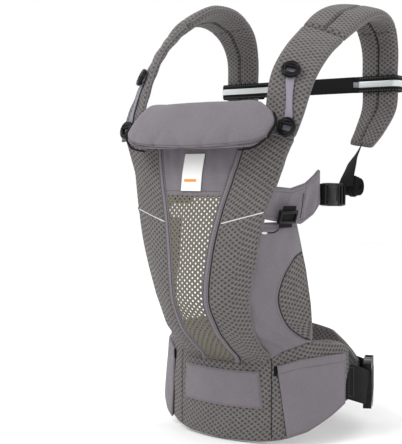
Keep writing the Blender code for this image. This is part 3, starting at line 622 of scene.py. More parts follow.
def add_piece(name, verts, faces, mats, uv=None, body="carrier", slot=None, node=None, side=1,
              which=None):
    """Make a smooth mesh object that rides on `body` and stands for the CAD node `node`."""
    verts = np.array(verts, float).reshape(-1, 3)
    verts[:, 0] *= side
    if side < 0:
        faces = [tuple(reversed(face)) for face in faces]
    mesh = bpy.data.meshes.new(name)
    mesh.from_pydata(verts.tolist(), [], faces)
    if uv is not None:
        put_uv(mesh, uv)
    mats = mats if isinstance(mats, list) else [mats]
    for mat in mats:
        mesh.materials.append(mat)
    if which is not None:
        mesh.polygons.foreach_set("material_index", np.asarray(which, np.int32))
    mesh.shade_smooth()
    obj = bpy.data.objects.new(name, mesh)
    bpy.context.scene.collection.objects.link(obj)
    if body:
        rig.ride(obj, body)
    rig.slot(obj, slot or SLOT_OF[mats[0]])
    if node:
        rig.replaces(obj, node)
    return obj


def rework(mesh, *steps):
    """Change a mesh with bmesh calls."""
    bm = bmesh.new()
    bm.from_mesh(mesh)
    for step in steps:
        step(bm)
    bm.to_mesh(mesh)
    bm.free()


def weld(distance):
    return lambda bm: bmesh.ops.remove_doubles(bm, verts=bm.verts, dist=distance)


def face_out(bm):
    bmesh.ops.recalc_face_normals(bm, faces=bm.faces)


def ring_faces(rings, count, closed=False, ends=True):
    """Faces of a skin through rings of `count` points, one after another, and its two ends."""
    faces = []
    for k in range(rings if closed else rings - 1):
        this, after = k * count, (k + 1) % rings * count
        for i in range(count):
            j = (i + 1) % count
            faces.append((this + i, this + j, after + j, after + i))
    if ends and not closed:
        faces.append(tuple(range(count - 1, -1, -1)))
        faces.append(tuple(range((rings - 1) * count, rings * count)))
    return faces


def resample(points, places, axis):
    """Read a grid of points at places 0..1 along one axis, on smooth curves through them."""
    points = np.moveaxis(points, axis, 0)
    points = np.concatenate([[2 * points[0] - points[1]], points, [2 * points[-1] - points[-2]]])
    last = len(points) - 3
    t = np.clip(places, 0, 1) * last
    i = np.minimum(t.astype(int), last - 1)
    f = (t - i).reshape(-1, *([1] * (points.ndim - 1)))
    return np.moveaxis(between(*(points[i + k] for k in range(4)), f), 0, axis)


def spaced(length, pitch, edge):
    """Places 0..1 along a length, closer together over the rounded edge at both ends."""
    count = max(int(ceil(length / pitch)), 4)
    inner = np.linspace(0, 1, count + 1)
    round_end = np.array([0.0, 0.10, 0.35, 0.70]) * edge / length
    keep = inner[(inner > edge / length) & (inner < 1 - edge / length)]
    return np.concatenate([round_end, keep, 1 - round_end[::-1]])


def running_length(points, axis):
    steps = np.linalg.norm(np.diff(points, axis=axis), axis=-1)
    return np.concatenate([np.zeros_like(np.take(steps, [0], axis)), np.cumsum(steps, axis)], axis)


class Grid:
    """Points over a piece of cloth, with its normals and its own lengths s and t in metres."""

    def __init__(self, surface, outward, edge=0.0015, coarse=(12, 24), pitch=PITCH, side=0):
        self.how = {"side": side} if side else {}
        self.tail = "_" + side_name(side) if side else ""
        across, up = coarse
        rough = np.array([[surface(i / across, j / up) for i in range(across + 1)]
                          for j in range(up + 1)], float)
        self.edge = edge
        self.us = spaced(running_length(rough, 1)[:, -1].max(), pitch, edge)
        self.vs = spaced(running_length(rough, 0)[-1].max(), pitch, edge)
        self.points = resample(resample(rough, self.vs, 0), self.us, 1)
        self.s, self.t = running_length(self.points, 1), running_length(self.points, 0)
        self.u, self.v = np.meshgrid(self.us, self.vs)
        normal = np.cross(np.gradient(self.points, axis=1), np.gradient(self.points, axis=0))
        normal /= np.linalg.norm(normal, axis=2, keepdims=True)
        away = outward(self.points) if callable(outward) else np.array(outward, float)
        self.flip = (normal * away).sum() < 0
        self.normal = -normal if self.flip else normal
        self.outer = self.points

    def area(self):
        corner = self.points[:-1, :-1]
        up, across = self.points[1:, :-1] - corner, self.points[:-1, 1:] - corner
        return float(np.linalg.norm(np.cross(up, across), axis=2).sum())

    def at(self, u, v, lift=0.0):
        """Points on the finished outer face at places u, v, raised by lift."""
        u, v = np.broadcast_arrays(np.atleast_1d(np.asarray(u, float)), np.asarray(v, float))
        (i, fx), (j, fy) = self.cell(u, self.us), self.cell(v, self.vs)

        def read(field):
            return ((field[j, i] * (1 - fx) + field[j, i + 1] * fx) * (1 - fy)
                    + (field[j + 1, i] * (1 - fx) + field[j + 1, i + 1] * fx) * fy)

        return read(self.outer) + read(self.normal) * lift

    @staticmethod
    def cell(places, steps):
        """Which of the steps each place follows, and how far it is on to the next one."""
        place = np.interp(places, steps, np.arange(len(steps)))
        index = np.minimum(place.astype(int), len(steps) - 2)
        return index, (place - index)[:, None]

    def inset(self, edge, distance, count=80, margin=0.0, lift=0.0):
        """A line on the outer face that runs `distance` metres inside one edge."""
        upright = edge in ("left", "right")
        steps, widths, lengths = ((self.vs, self.s[:, -1], self.t[-1]) if upright
                                  else (self.us, self.t[-1], self.s[:, -1]))
        run = np.linspace(0, 1, count)
        place = distance / np.interp(run, steps, widths)
        if edge in ("right", "top"):
            place = 1 - place
        margin = margin / lengths.mean()
        run = margin + run * (1 - 2 * margin)
        return self.at(place, run, lift) if upright else self.at(run, place, lift)

    def sew(self, name, *lines, **how):
        """Stitch rows on the outer face, each along a line given as for inset()."""
        lines = [self.inset(*line) if isinstance(line[0], str) else line for line in lines]
        stitches(name + self.tail, lines, **self.how, **how)

    def pipe(self, name, radius, mat, *lines, **how):
        """Cords on the outer face, each along a line given as for inset()."""
        lines = [self.inset(*line) if isinstance(line[0], str) else line for line in lines]
        tube(name + self.tail, lines, radius, mat, **self.how, **how)

    def bind(self, name, radius, lift, *edges):
        """One bound edge round several sides, each given as its name, count and direction."""
        line = [self.inset(edge, 0.0, count, 0.001, lift)[::way] for edge, count, way in edges]
        tube(name + self.tail, [np.concatenate(line)], radius, SEAM, **self.how)

    def slab(self, name, mats, thick, raise_by=0.0, relief=None, back=None, mask=None, node=None,
             **how):
        """A closed body with rounded edges: outer face, inner face and the rim between them."""
        rows, columns = self.u.shape
        radius = min(self.edge, thick / 2)
        away = np.minimum(np.minimum(self.s, self.s[:, -1:] - self.s),
                          np.minimum(self.t, self.t[-1:] - self.t))
        inside = np.clip(1 - away / radius, 0, 1)
        drop = radius * (1 - np.sqrt(1 - inside ** 2))
        calm = np.clip(away / max(2 * radius, 0.002), 0, 1)
        front = raise_by - drop + (relief(self) * calm if relief else 0.0)
        rear = raise_by - thick + drop + (back(self) * calm if back else 0.0)
        self.outer = self.points + self.normal * np.broadcast_to(front, self.s.shape)[..., None]
        inner = self.points + self.normal * np.broadcast_to(rear, self.s.shape)[..., None]
        index = np.arange(rows * columns).reshape(rows, columns)
        a, b, c, d = index[:-1, :-1], index[:-1, 1:], index[1:, 1:], index[1:, :-1]
        quads = np.stack([a, b, c, d], -1).reshape(-1, 4)
        total = rows * columns
        rim = np.concatenate([index[0, :-1], index[:-1, -1], index[-1, :0:-1], index[:0:-1, 0]])
        after = np.roll(rim, -1)
        sides = np.stack([after, rim, rim + total, after + total], -1)
        faces = np.concatenate([quads, quads[:, ::-1] + total, sides])
        if self.flip:
            faces = faces[:, ::-1]
        uv = np.stack([self.s, self.t], -1).reshape(-1, 2)
        which = None
        if mask is not None:
            chosen = mask(self)[:-1, :-1].reshape(-1).astype(int)
            which = np.concatenate([chosen, chosen, np.zeros(len(sides), int)])
        verts = np.concatenate([self.outer.reshape(-1, 3), inner.reshape(-1, 3)])
        return add_piece(name + self.tail, verts, faces.tolist(), mats, np.concatenate([uv, uv]),
                         which=which, node=node and node + self.tail, **self.how, **how)

    def sheet(self, obj, rests_on, held="stretched", turned=0.0):
        width, length = float(self.s[:, -1].max()) + turned, float(self.t[-1].max())
        area = self.area() + turned * length
        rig.sheet(obj, flat=(width, length), held=held, rests_on=rests_on,
                 area=min(max(area, 0.31 * width * length), width * length))


def dimples(g, depth=0.0006):
    """Height of a spacer mesh's staggered hollows over a grid."""
    nearest = np.full(g.s.shape, 9.0)
    for shift in (0.0, 0.5):
        x = g.s / DIMPLE_PERIOD[0] + shift
        y = g.t / DIMPLE_PERIOD[1] + shift
        x, y = (x - np.round(x)) * DIMPLE_PERIOD[0], (y - np.round(y)) * DIMPLE_PERIOD[1]
        nearest = np.minimum(nearest, np.hypot(x / DIMPLE_RADIUS[0], y / DIMPLE_RADIUS[1]))
    return -depth * smooth_step(np.clip(1.25 - nearest, 0, 1))


def ripple(g, size, wave, seed):
    """Slow, uneven waves over cloth, of height `size` and about `wave` metres apart."""
    a, b = g.s / wave * tau, g.t / wave * tau
    return size * (np.sin(a + 1.7 * seed + 0.8 * np.sin(b * 0.6 + seed))
                   * np.sin(b * 0.8 + 2.3 * seed + 0.7 * np.sin(a * 0.5)))


def groove(distance, depth, width):
    """A sewn channel: how far cloth is drawn in at a distance from the seam."""
    return -depth * np.exp(-(distance / width) ** 2)


def directions(line):
    """The line's own direction at each of its points."""
    along = np.gradient(line, axis=0)
    return along / np.linalg.norm(along, axis=1, keepdims=True)


def frames_along(points):
    """Two directions square to a line at each of its points, turned as little as possible."""
    along = directions(points)
    side = np.cross(along[0], (0, 0, 1.0) if abs(along[0][2]) < 0.9 else (1.0, 0, 0))
    first, second = [], []
    for direction in along:
        side = side - direction * side.dot(direction)
        side = side / np.linalg.norm(side)
        first.append(side)
        second.append(np.cross(direction, side))
    return np.array(first), np.array(second)


def tube_part(points, radius, sides=8, taper=0.35):
    """Points, faces and lengths of a closed round bar along a line, with rounded ends."""
    points = np.asarray(points, float)
    first, second = frames_along(points)
    scale = np.ones(len(points))
    scale[0] = scale[-1] = taper
    angles = np.arange(sides) * tau / sides
    ring = (np.cos(angles)[None, :, None] * first[:, None]
            + np.sin(angles)[None, :, None] * second[:, None])
    verts = points[:, None] + ring * (radius * scale)[:, None, None]
    length = running_length(points, 0)
    uv = np.stack(np.broadcast_arrays(np.arange(sides) * tau * radius / sides, length[:, None]), -1)
    return verts.reshape(-1, 3), ring_faces(len(points), sides), uv.reshape(-1, 2)


def add_parts(name, parts, mat, **how):
    """One piece from several parts, each given as points, faces and lengths."""
    faces, base = [], 0
    for verts, part_faces, _ in parts:
        faces += [tuple(base + i for i in face) for face in part_faces]
        base += len(verts)
    return add_piece(name, np.concatenate([part[0] for part in parts]), faces, mat,
                     np.concatenate([part[2] for part in parts]), **how)


def even_line(points, step):
    """A line's points at even steps along it."""
    length = running_length(np.asarray(points, float), 0)
    count = max(int(round(length[-1] / step)), 2)
    run = np.linspace(0, length[-1], count + 1)
    return np.stack([np.interp(run, length, np.asarray(points)[:, k]) for k in range(3)], -1)


def tube(name, lines, radius, mat, sides=8, step=0.003, **how):
    return add_parts(name, [tube_part(even_line(line, step), radius, sides) for line in lines], mat,
                     **how)


def stitches(name, lines, mat=THREAD, length=0.0030, gap=0.0013, radius=0.00038, **how):
    """Rows of sewing thread: short rounded dashes along lines on the cloth's face."""
    parts = []
    for line in lines:
        run = running_length(np.asarray(line, float), 0)
        for k in range(int(run[-1] / (length + gap))):
            places = k * (length + gap) + np.array([0, 0.2, 0.8, 1.0]) * length
            dash = np.stack([np.interp(places, run, np.asarray(line)[:, n]) for n in range(3)], -1)
            parts.append(tube_part(dash, radius, 5, 0.5))
    return add_parts(name, parts, mat, **how)


def ribbon_part(points, across, width, thick):
    """Points, faces and lengths of flat webbing along a line, with softly rounded edges."""
    points, across = np.asarray(points, float), np.asarray(across, float)
    along = directions(points)
    across = across - along * (across * along).sum(1, keepdims=True)
    across /= np.linalg.norm(across, axis=1, keepdims=True)
    through = np.cross(along, across)
    half, h = np.broadcast_to(width, len(points)) / 2, thick / 2
    edge = thick * 0.6
    profile = [(-1, 0, 0.0), (-1, edge, 0.75), (-0.5, 0, 1), (0, 0, 1), (0.5, 0, 1), (1, -edge, 0.75),
               (1, 0, 0.0), (1, -edge, -0.75), (0.5, 0, -1), (0, 0, -1), (-0.5, 0, -1), (-1, edge, -0.75)]
    count = len(profile)
    place = np.stack([x * half + inset for x, inset, _ in profile], 1)
    rise = np.array([z * h for _, _, z in profile])
    verts = points[:, None] + across[:, None] * place[..., None] + through[:, None] * rise[None, :, None]
    length = running_length(points, 0)
    uv = np.stack(np.broadcast_arrays(place, length[:, None]), -1)
    faces = [face[::-1] for face in ring_faces(len(points), count)]
    return verts.reshape(-1, 3), faces, uv.reshape(-1, 2)


def ribbon(name, points, across, width, thick, mat, **how):
    return add_parts(name, [ribbon_part(points, across, width, thick)], mat, **how)


def side_name(side):
    return "right" if side > 0 else "left"


# ---- camera, light and floor -----------------------------
def make_stage():
    scene = bpy.context.scene
    azimuth, elevation = radians(VIEW_AZIMUTH), radians(VIEW_ELEVATION)
    back = Vector((sin(azimuth) * cos(elevation), -cos(azimuth) * cos(elevation), sin(elevation)))
    data = bpy.data.cameras.new("camera")
    data.lens = LENS
    data.shift_x, data.shift_y = SHIFT_X, SHIFT_Y
    camera = bpy.data.objects.new("camera", data)
    camera.location = VIEW_TARGET + back * VIEW_DISTANCE
    camera.rotation_euler = (-back).to_track_quat("-Z", "Y").to_euler()
    scene.collection.objects.link(camera)
    scene.camera = camera

    world = bpy.data.worlds.new("studio")
    world.use_nodes = True
    background = world.node_tree.nodes["Background"].inputs
    background["Color"].default_value = (1.0, 1.0, 1.0, 1.0)
    background["Strength"].default_value = 1.0
    scene.world = world
    scene.view_settings.view_transform = "Standard"

    for name, place, size, power in (("key", (-0.6, -1.4, 2.1), 1.0, 26.0),
                                     ("fill", (1.9, -0.7, 1.1), 1.4, 5.0),
                                     ("rim", (0.6, 1.9, 1.5), 1.2, 10.0)):
        light = bpy.data.lights.new(name, "AREA")
        light.size = size
        light.energy = power
        obj = bpy.data.objects.new(name, light)
        obj.location = place
        towards = Vector((0, 0.08, 0.32)) - Vector(place)
        obj.rotation_euler = towards.to_track_quat("-Z", "Y").to_euler()
        scene.collection.objects.link(obj)

    bm = bmesh.new()
    bmesh.ops.create_circle(bm, cap_ends=True, segments=96, radius=4.0)
    mesh = bpy.data.meshes.new("floor")
    bm.to_mesh(mesh)
    bm.free()
    mesh.materials.append(pale_floor("floor_paint", 0.97))
    floor = bpy.data.objects.new("floor", mesh)
    floor.location.z = CAD_BOX[0][2] - 0.002
    scene.collection.objects.link(floor)
    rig.stage(floor)


# ---- panel -----------------------------------------------
def tape_in(z):
    return panel_row(z)[4] - TAPE_WIDTH / 2


def tape_out(z):
    return panel_row(z)[4] + TAPE_WIDTH / 2


def panel_grid(x_low, x_high, z_low, z_high, **how):
    """A piece of the panel between two edge curves, given as functions of height."""
    def surface(u, v):
        z = z_low(u) + (z_high(u) - z_low(u)) * v
        return panel_point(x_low(z) + (x_high(z) - x_low(z)) * u, z)

    return Grid(surface, (0, -1, 0), **how)


def make_window():
    """Open net: each hole is a rounded ring that fills one diamond of a staggered lattice."""
    wide, tall = NET_PERIOD
    points_round = 12
    # Share of the way from the hole's rim out to the diamond's edge, and height, of each ring.
    section = [(1.0, 0.0), (0.55, 0.00045), (0.0, 0.00035), (0.0, -0.00075), (0.55, -0.00085),
               (1.0, -0.0005)]
    cell = [face[::-1] for face in ring_faces(len(section), points_round, ends=False)]
    low, high = PANEL_BASE - SEWN, WINDOW_TOP + 0.0035
    verts, faces, uv = [], [], []
    for row in range(int((WINDOW_TOP + 0.002 - low) / (tall / 2)) + 1):
        z = low + row * tall / 2
        reach = int(tape_in(z) / wide) + 1
        for column in range(-reach - 1, reach + 2):
            x = (column + row % 2 * 0.5) * wide
            if abs(x) > tape_in(z) + 0.0050:
                continue
            faces += [tuple(len(verts) + i for i in face) for face in cell]
            for grow, lift in section:
                for k in range(points_round):
                    ca, sa = cos(tau * k / points_round), sin(tau * k / points_round)
                    diamond = 1 / (abs(ca) / (wide / 2) + abs(sa) / (tall / 2))
                    hole = 1 / np.hypot(ca / NET_HOLE[0], sa / NET_HOLE[1])
                    r = hole + (diamond - hole) * grow
                    at_x, at_z = x + ca * r, min(z + sa * r, high)
                    verts.append(panel_point(at_x, max(at_z, low)) + panel_normal(at_x, at_z) * lift)
                    uv.append((at_x, at_z - (PANEL_BASE + WINDOW_TOP) / 2))
    net = add_piece("window_net", verts, faces, NET, uv, node="window_mesh")
    rework(net.data, weld(0.00008), face_out)
    width, length = 2 * tape_in(WINDOW_TOP), 0.262
    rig.sheet(net, flat=(width, length), held="stretched",
             rests_on=["trim_tape_left", "trim_tape_right"], area=0.70 * width * length)


def make_panel():
    make_window()

    def top_relief(g):
        hem = groove(g.t - 0.0075, 0.0005, 0.0008)
        puff = 0.0016 * np.sin(pi * g.u) * np.clip(g.v * 4, 0, 1)
        folds = 0.0006 * np.sin(g.s / 0.021 * tau + 0.8) * np.clip(1 - abs(g.v - 0.55) * 1.5, 0, 1)
        return hem + puff + folds + ripple(g, 0.00025, 0.045, 2.0)

    grid = panel_grid(lambda z: -tape_in(z) - 0.0015, lambda z: tape_in(z) + 0.0015,
                      lambda u: WINDOW_TOP, lambda u: PANEL_TOP, edge=0.0010)
    cloth = grid.slab("top_cloth", GREY, 0.0022, 0.0, top_relief, node="top_panel")
    grid.sheet(cloth, ["trim_tape_left", "trim_tape_right"])
    grid.sew("top_hem_stitch", ("bottom", 0.0075, 60, 0.003, 0.0001))
    # Dark line along the hem's foot: painted shadow where the top cloth meets the window net.
    grid.pipe("top_hem_shade", 0.0009, SEAM_SHADE, ("bottom", 0.0002, 60, 0.002, -0.0004))
    make_tag()

    for side in (-1, 1):
        make_tape(side)
        make_side_panels(side)


def make_tape(side):
    fold_line = 0.0025                          # of the fold groove and its painted shade line, inside its inner edge

    def fold(g):
        return 0.0007 * np.sin(pi * g.u) + groove(g.s - fold_line, 0.0009, 0.0007)

    grid = panel_grid(tape_in, tape_out, lambda u: PANEL_BASE - SEWN, lambda u: PANEL_TOP,
                      edge=0.0012, coarse=(6, 40), side=side)
    tape = grid.slab("tape", GREY, 0.0040, 0.0018, fold, node="trim_tape")
    grid.sheet(tape, ["window_net", "side_lower" + grid.tail], turned=0.0040)
    # Dark lines: painted shadow along the tape's outer seam, and painted shade in its fold groove.
    grid.pipe("tape_edge_shade", 0.0013, SEAM_SHADE, ("right", -0.0001, 120, 0.002, -0.0006))
    grid.pipe("tape_fold_shade", 0.00045, SEAM_SHADE, ("left", fold_line, 120, 0.002, -0.0002))
    grid.sew("tape_stitch", ("right", 0.0018, 160, 0.003), ("left", 0.0012, 160, 0.003))


def make_side_panels(side):
    def seam(u):
        return 0.317 + 0.017 * u

    def base(u):
        return belt_top_at(0.036 + 0.042 * u) + 0.0030 - SEWN * (1 + u)

    def outer(z):
        return panel_row(z)[2]

    def outer_high(z):
        """Follows the panel's edge, then runs in behind the yoke to its inner edge."""
        return outer(z) + (0.108 - outer(z)) * smooth_step(held((z - YOKE_BASE - 0.004) / 0.014))

    def low_relief(g):
        belly = 0.0022 * np.sin(pi * g.u) * np.sin(pi * np.clip(g.v, 0, 1)) ** 0.5
        pucker = 0.0007 * np.sin(g.t / 0.017 * tau) * np.clip(1 - g.u * 2.4, 0, 1)
        return dimples(g) + belly + pucker + ripple(g, 0.0005, 0.05, side)

    def high_relief(g):
        return dimples(g) + 0.0014 * np.sin(pi * g.u) + ripple(g, 0.0005, 0.045, side + 0.6)

    low = panel_grid(tape_out, outer, base, seam, edge=0.0026, coarse=(10, 30), side=side)
    piece = low.slab("side_lower", MESH, MESH_THICK, 0.0004, low_relief, dimples,
                     node="side_panel_lower")
    low.sheet(piece, ["tape" + low.tail, "belt_cover"])
    high = panel_grid(tape_out, outer_high, seam, lambda u: PANEL_TOP - 0.003, edge=0.0022,
                      coarse=(10, 40), side=side)
    piece = high.slab("side_upper", MESH, MESH_THICK, 0.0004, high_relief, dimples,
                      node="side_panel_upper")
    high.sheet(piece, ["tape" + high.tail, "yoke" + high.tail])
    high.pipe("reflective_piping", 0.0011, SILVER, ("bottom", 0.0, 40, 0.0005, 0.0009),
              slot="grey_fabric")
    edge_line = np.concatenate([low.inset("right", 0.0, 80, 0.001, -0.0022),
                                high.at(1.0, np.linspace(0.01, 0.70, 50), -0.0022)])
    low.pipe("panel_edge_binding", 0.0016, SEAM, edge_line)


def make_tag():
    """Blank woven label, sewn along its sides to the top panel."""
    width, low, high, offset = 0.0340, 0.361, 0.412, -0.0020

    def surface(u, v):
        x = (u - 0.5) * width + offset
        z = low + (high - low) * v
        return panel_point(x, z) + panel_normal(x, z) * 0.0021

    grid = Grid(surface, (0, -1, 0), edge=0.0003, coarse=(6, 8), pitch=0.0015)
    tag = grid.slab("tag", TAG, 0.0007, 0.0008, lambda g: 0.0005 * np.sin(pi * g.v * 2) ** 2,
                    node="blank_tag")
    grid.sheet(tag, ["top_cloth"])
    grid.sew("tag_stitch", ("left", 0.0012, 40, 0.002), ("right", 0.0012, 40, 0.002), mat=TAG,
             length=0.0016, gap=0.0010, radius=0.00024)


# ---- leg area --------------------------------------------
INSET_MIDDLE, INSET_TALL, INSET_WIDE = 0.212, 0.062, 0.56     # the wing's half moon of mesh
SLIT_PLACE = 0.62                                             # the tab's seam, along its length
SEAT_STRAP_LENGTH = 0.031


def make_wing(side):
    def inset_place(g):
        """0 on the mesh inset's edge, negative inside the half moon at the wing's back."""
        return np.hypot((1 - g.u) / INSET_WIDE, (g.points[..., 2] - INSET_MIDDLE) / INSET_TALL) - 1

    def relief(g):
        place = inset_place(g)
        mesh = np.where(place < -0.04, dimples(g, 0.0008), 0.0)
        seam = groove(place * 0.035, 0.0009, 0.0016)
        hem = groove(g.t[-1:] - g.t - 0.006, 0.0006, 0.0009)
        puff = 0.0025 * np.sin(pi * g.u) * np.sin(pi * g.v)
        drape = 0.0009 * np.sin(g.s / 0.020 * tau + g.t / 0.06 * tau) * (1 - g.v)
        return mesh + seam + hem + puff + drape + ripple(g, 0.0006, 0.055, side + 2.0)

    ahead, below = 0.035, 0.022                 # what it turns in at the panel's and belt's seams
    grid = Grid(lambda u, v: wing_point(u * (1 + ahead) - ahead, v * (1 + below) - below), (1, 0, 0),
                edge=0.0018, coarse=(14, 30), side=side)
    wing = grid.slab("wing", [GREY, MESH], CLOTH_THICK, 0.0, relief,
                     mask=lambda g: inset_place(g) < 0, node="leg_wing")
    grid.sheet(wing, ["side_lower" + grid.tail, "belt_cover"])
    arc = []                                    # the inset's edge, as places on the grid
    for a in np.linspace(-pi / 2, pi / 2, 90):
        u, z = 1 - INSET_WIDE * cos(a), INSET_MIDDLE + INSET_TALL * sin(a)
        low = wing_foot(u * (1 + ahead) - ahead)[1]
        v = ((z - low) / (WING_TOP - low) + below) / (1 + below)
        if 0.01 < v < 0.99:
            arc.append((u, v))
    arc_u, arc_v = np.array(arc).T
    # Dark line along the inset's seam: painted shade in its groove.
    grid.pipe("wing_seam_shade", 0.0009, SEAM_SHADE, grid.at(arc_u, arc_v, 0.0002))
    grid.sew("wing_stitch", grid.at(arc_u - 0.045, arc_v), ("top", 0.0060, 60, 0.003),
             ("right", 0.0035, 90, 0.004))
    grid.bind("wing_binding", 0.0019, -0.0014, ("right", 90, 1), ("top", 60, -1))
    grid.pipe("wing_root", 0.0032, SEAM, grid.at(0.002, np.linspace(0.0, 0.35, 30), -0.001))


def make_tab(side):
    def relief(g):
        slit = groove(g.s - SLIT_PLACE * g.s[:, -1:], 0.0011, 0.0011)
        hem = groove(g.t[-1:] - g.t - 0.0045, 0.0004, 0.0008)
        fold = 0.0012 * np.sin(g.s / 0.030 * tau) * np.sin(pi * g.v)
        return slit + hem + fold + ripple(g, 0.0005, 0.035, side + 4.0)

    grid = Grid(lambda u, v: tab_point(u * 1.05 - 0.05, v), (1, 0, 0), edge=0.0018, coarse=(24, 6),
                side=side)
    tab = grid.slab("tab", GREY, CLOTH_THICK, 0.0, relief, node="side_tab")
    grid.sheet(tab, ["side_upper" + grid.tail])
    # Dark line in the slit's groove: painted shade.
    grid.pipe("tab_slit_shade", 0.0006, SEAM_SHADE, grid.at(SLIT_PLACE, np.linspace(0.10, 0.80, 30), 0.0002))
    grid.sew("tab_stitch", grid.at(SLIT_PLACE + 0.035, np.linspace(0.06, 0.90, 30)),
             ("top", 0.0045, 70, 0.004), ("bottom", 0.0040, 70, 0.004))
    grid.bind("tab_binding", 0.0018, -0.0015, ("top", 70, 1), ("right", 40, -1), ("bottom", 70, -1))


def seat_strap_frame():
    low, high = wing_point(0.40, 0.96), tab_point(0.29, 0.40)
    across = (TAB_BACK - Vector((0.112, -0.032, 0))).normalized()
    up = high - low
    up = (up - across * up.dot(across)).normalized()
    out = across.cross(up).normalized()
    if out.x < 0:
        out = -out
    return (low + high) / 2 + out * 0.0100 + up * SEAT_STRAP_RISE, across, up, out


def make_seat_strap(side):
    """Short webbing from the wing to the tab, between the tri-glide's middle and outer bars."""
    name = side_name(side)
    centre, across, up, out = seat_strap_frame()
    route = [centre + up * f * SEAT_STRAP_LENGTH + out * 0.0003 * exp(-(f / 0.185) ** 2)
             for f in np.linspace(-0.5, 0.5, 25)]
    ribbon("seat_web_" + name, route, across, SIDE_WEB, WEB_THICK, BLACK_WEB, side=side,
           node="seat_strap_" + name)
    start = panel_point(0.102, 0.306) + Vector((0.004 if side > 0 else -0.004, 0.001, 0.0))
    end = centre - up * 0.017 - across * 0.012 + out * 0.001
    middle = start.lerp(end, 0.55) + Vector((0.004 * side, 0.0, -0.002))
    line = np.array([spline([start, middle, end], k / 10) for k in range(21)])
    tube("wing_elastic_" + name, [line], 0.0009, BLACK_WEB, side=side)
    tube("elastic_tip_" + name, [line[:6] + np.array([0.0009, -0.0006, 0.0])], 0.0017, SILVER,
         side=side)


# ---- waist belt ------------------------------------------
def belt_away(points):
    return points - np.array([0.0, BELT_B, 0.07])


def belt_grid(start, end, low, high, out=0.0, **how):
    def surface(u, v):
        angle = start(v) + (end(v) - start(v)) * u
        flare = (0.0045 - 0.0080 * v) * exp(-((angle + 58) / 22) ** 2)
        return belt_point(angle, low(angle) + (high(angle) - low(angle)) * v, out + flare)

    return Grid(surface, belt_away, **how)


def make_belt():
    first, last = BELT_ENDS

    def seams(g):
        """The three upright seams, and the one along the top edge."""
        angle = first + (last - first) * g.u
        upright = sum(groove((angle - seam) * 0.0026, 0.0016, 0.0014) for seam in BELT_SEAMS)
        return upright + groove(g.t[-1:] - g.t - 0.0065, 0.0006, 0.0010)

    def front(g):
        pad = 0.0016 * np.sin(pi * g.v) ** 0.7
        return dimples(g) + pad + seams(g) + ripple(g, 0.0007, 0.06, 1.0)

    def rear(g):
        return -dimples(g, 0.0006) - 0.0010 * np.sin(pi * g.v) ** 0.7 - seams(g)

    grid = belt_grid(lambda v: first, lambda v: last, lambda a: belt_edges(a)[0],
                     lambda a: belt_edges(a)[1], edge=0.0048, coarse=(151, 6))
    belt = grid.slab("belt_cover", MESH, BELT_THICK, 0.0, front, rear, node="belt_pad")
    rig.padded(belt, 0.5)
    run = np.linspace(0.002, 0.998, 400)
    grid.pipe("belt_binding", 0.0017, SEAM, *(grid.at(run, v, -0.004) for v in (0.999, 0.001)))
    # Dark lines down the upright seams: painted shade in their grooves.
    run = np.linspace(0.02, 0.98, 60)
    grid.pipe("belt_seam_shade", 0.0007, SEAM_SHADE,
              *(grid.at((seam - first) / (last - first), run, 0.0001) for seam in BELT_SEAMS))
    run = np.linspace(0.01, 0.99, 40)
    grid.pipe("belt_end_binding", 0.0024, SEAM, *(grid.at(u, run, -0.0045) for u in (0.0005, 0.9995)))
    make_patch()
    for side in (-1, 1):
        make_pocket(side)


def make_patch():
    """Cover for the hook-and-loop panel on the belt's front."""
    grid = belt_grid(lambda v: -25.0 + 1.5 * v, lambda v: 24.5 - 2.0 * v, lambda a: 0.050,
                     lambda a: 0.103, edge=0.0008, coarse=(40, 4))
    patch = grid.slab("patch", GREY, 0.0024, 0.0030,
                      lambda g: 0.0006 * np.sin(pi * g.v) + ripple(g, 0.00035, 0.04, 3.0),
                      node="belt_patch")
    grid.sheet(patch, ["belt_cover"], "laid")
    grid.sew("patch_stitch", *((edge, 0.0022, count, 0.002) for edge, count in (
        ("left", 50), ("right", 50), ("top", 120), ("bottom", 120))))


def pocket_high(a):
    return lookup([(31, 0.112), (45, 0.123), (60, 0.127), (75, 0.128)], abs(a))[1]


def make_pocket(side):
    """Patch pocket with a folded hem along its mouth and a black tab at the mouth's front corner."""
    name = side_name(side)
    near, far = (32.0, 71.5) if side > 0 else (-38.0, -75.0)

    def low(a):
        return belt_edges(a)[0] + 0.001

    def relief(g):
        hem = 0.0006 * np.clip((g.t - (g.t[-1:] - 0.011)) / 0.0012, 0, 1)
        slack = (0.0042 if side > 0 else 0.0018) * np.sin(pi * g.u)
        slack = slack * np.sin(pi * np.clip(g.v * 0.85 + 0.05, 0, 1))
        sag = 0.0008 * np.sin(g.s / 0.034 * tau + 1.0) * g.v ** 2
        return hem + slack + sag + ripple(g, 0.0005, 0.05, side + 1.3)

    slant = 5.2 if side > 0 else -1.6
    grid = belt_grid(lambda v: near + slant * (1 - v), lambda v: far, low, pocket_high,
                     edge=0.0014, coarse=(40, 8))
    pocket = grid.slab("pouch_" + name, GREY, 0.0030, 0.0044, relief, node="pocket_" + name)
    grid.sheet(pocket, ["belt_cover"], "laid")
    grid.sew("pocket_stitch_" + name, ("top", 0.0112, 110, 0.002), ("bottom", 0.0030, 110, 0.003),
             ("right", 0.0030, 90, 0.003))
    # Dark line along the pocket's front edge: painted shadow where it stands off the belt.
    grid.pipe("pocket_piping_" + name, 0.0010, SEAM_SHADE, ("left", -0.0006, 90, 0.001, -0.0014))
    tab = [belt_point(near - side * 0.9, pocket_high(near) - 0.0145 + 0.014 * k / 8, 0.0026)
           for k in range(9)]
    along = belt_point(near + 1, 0.1) - belt_point(near, 0.1)
    ribbon("pocket_tab_" + name, tab, along, 0.0046, 0.0022, BLACK_WEB)


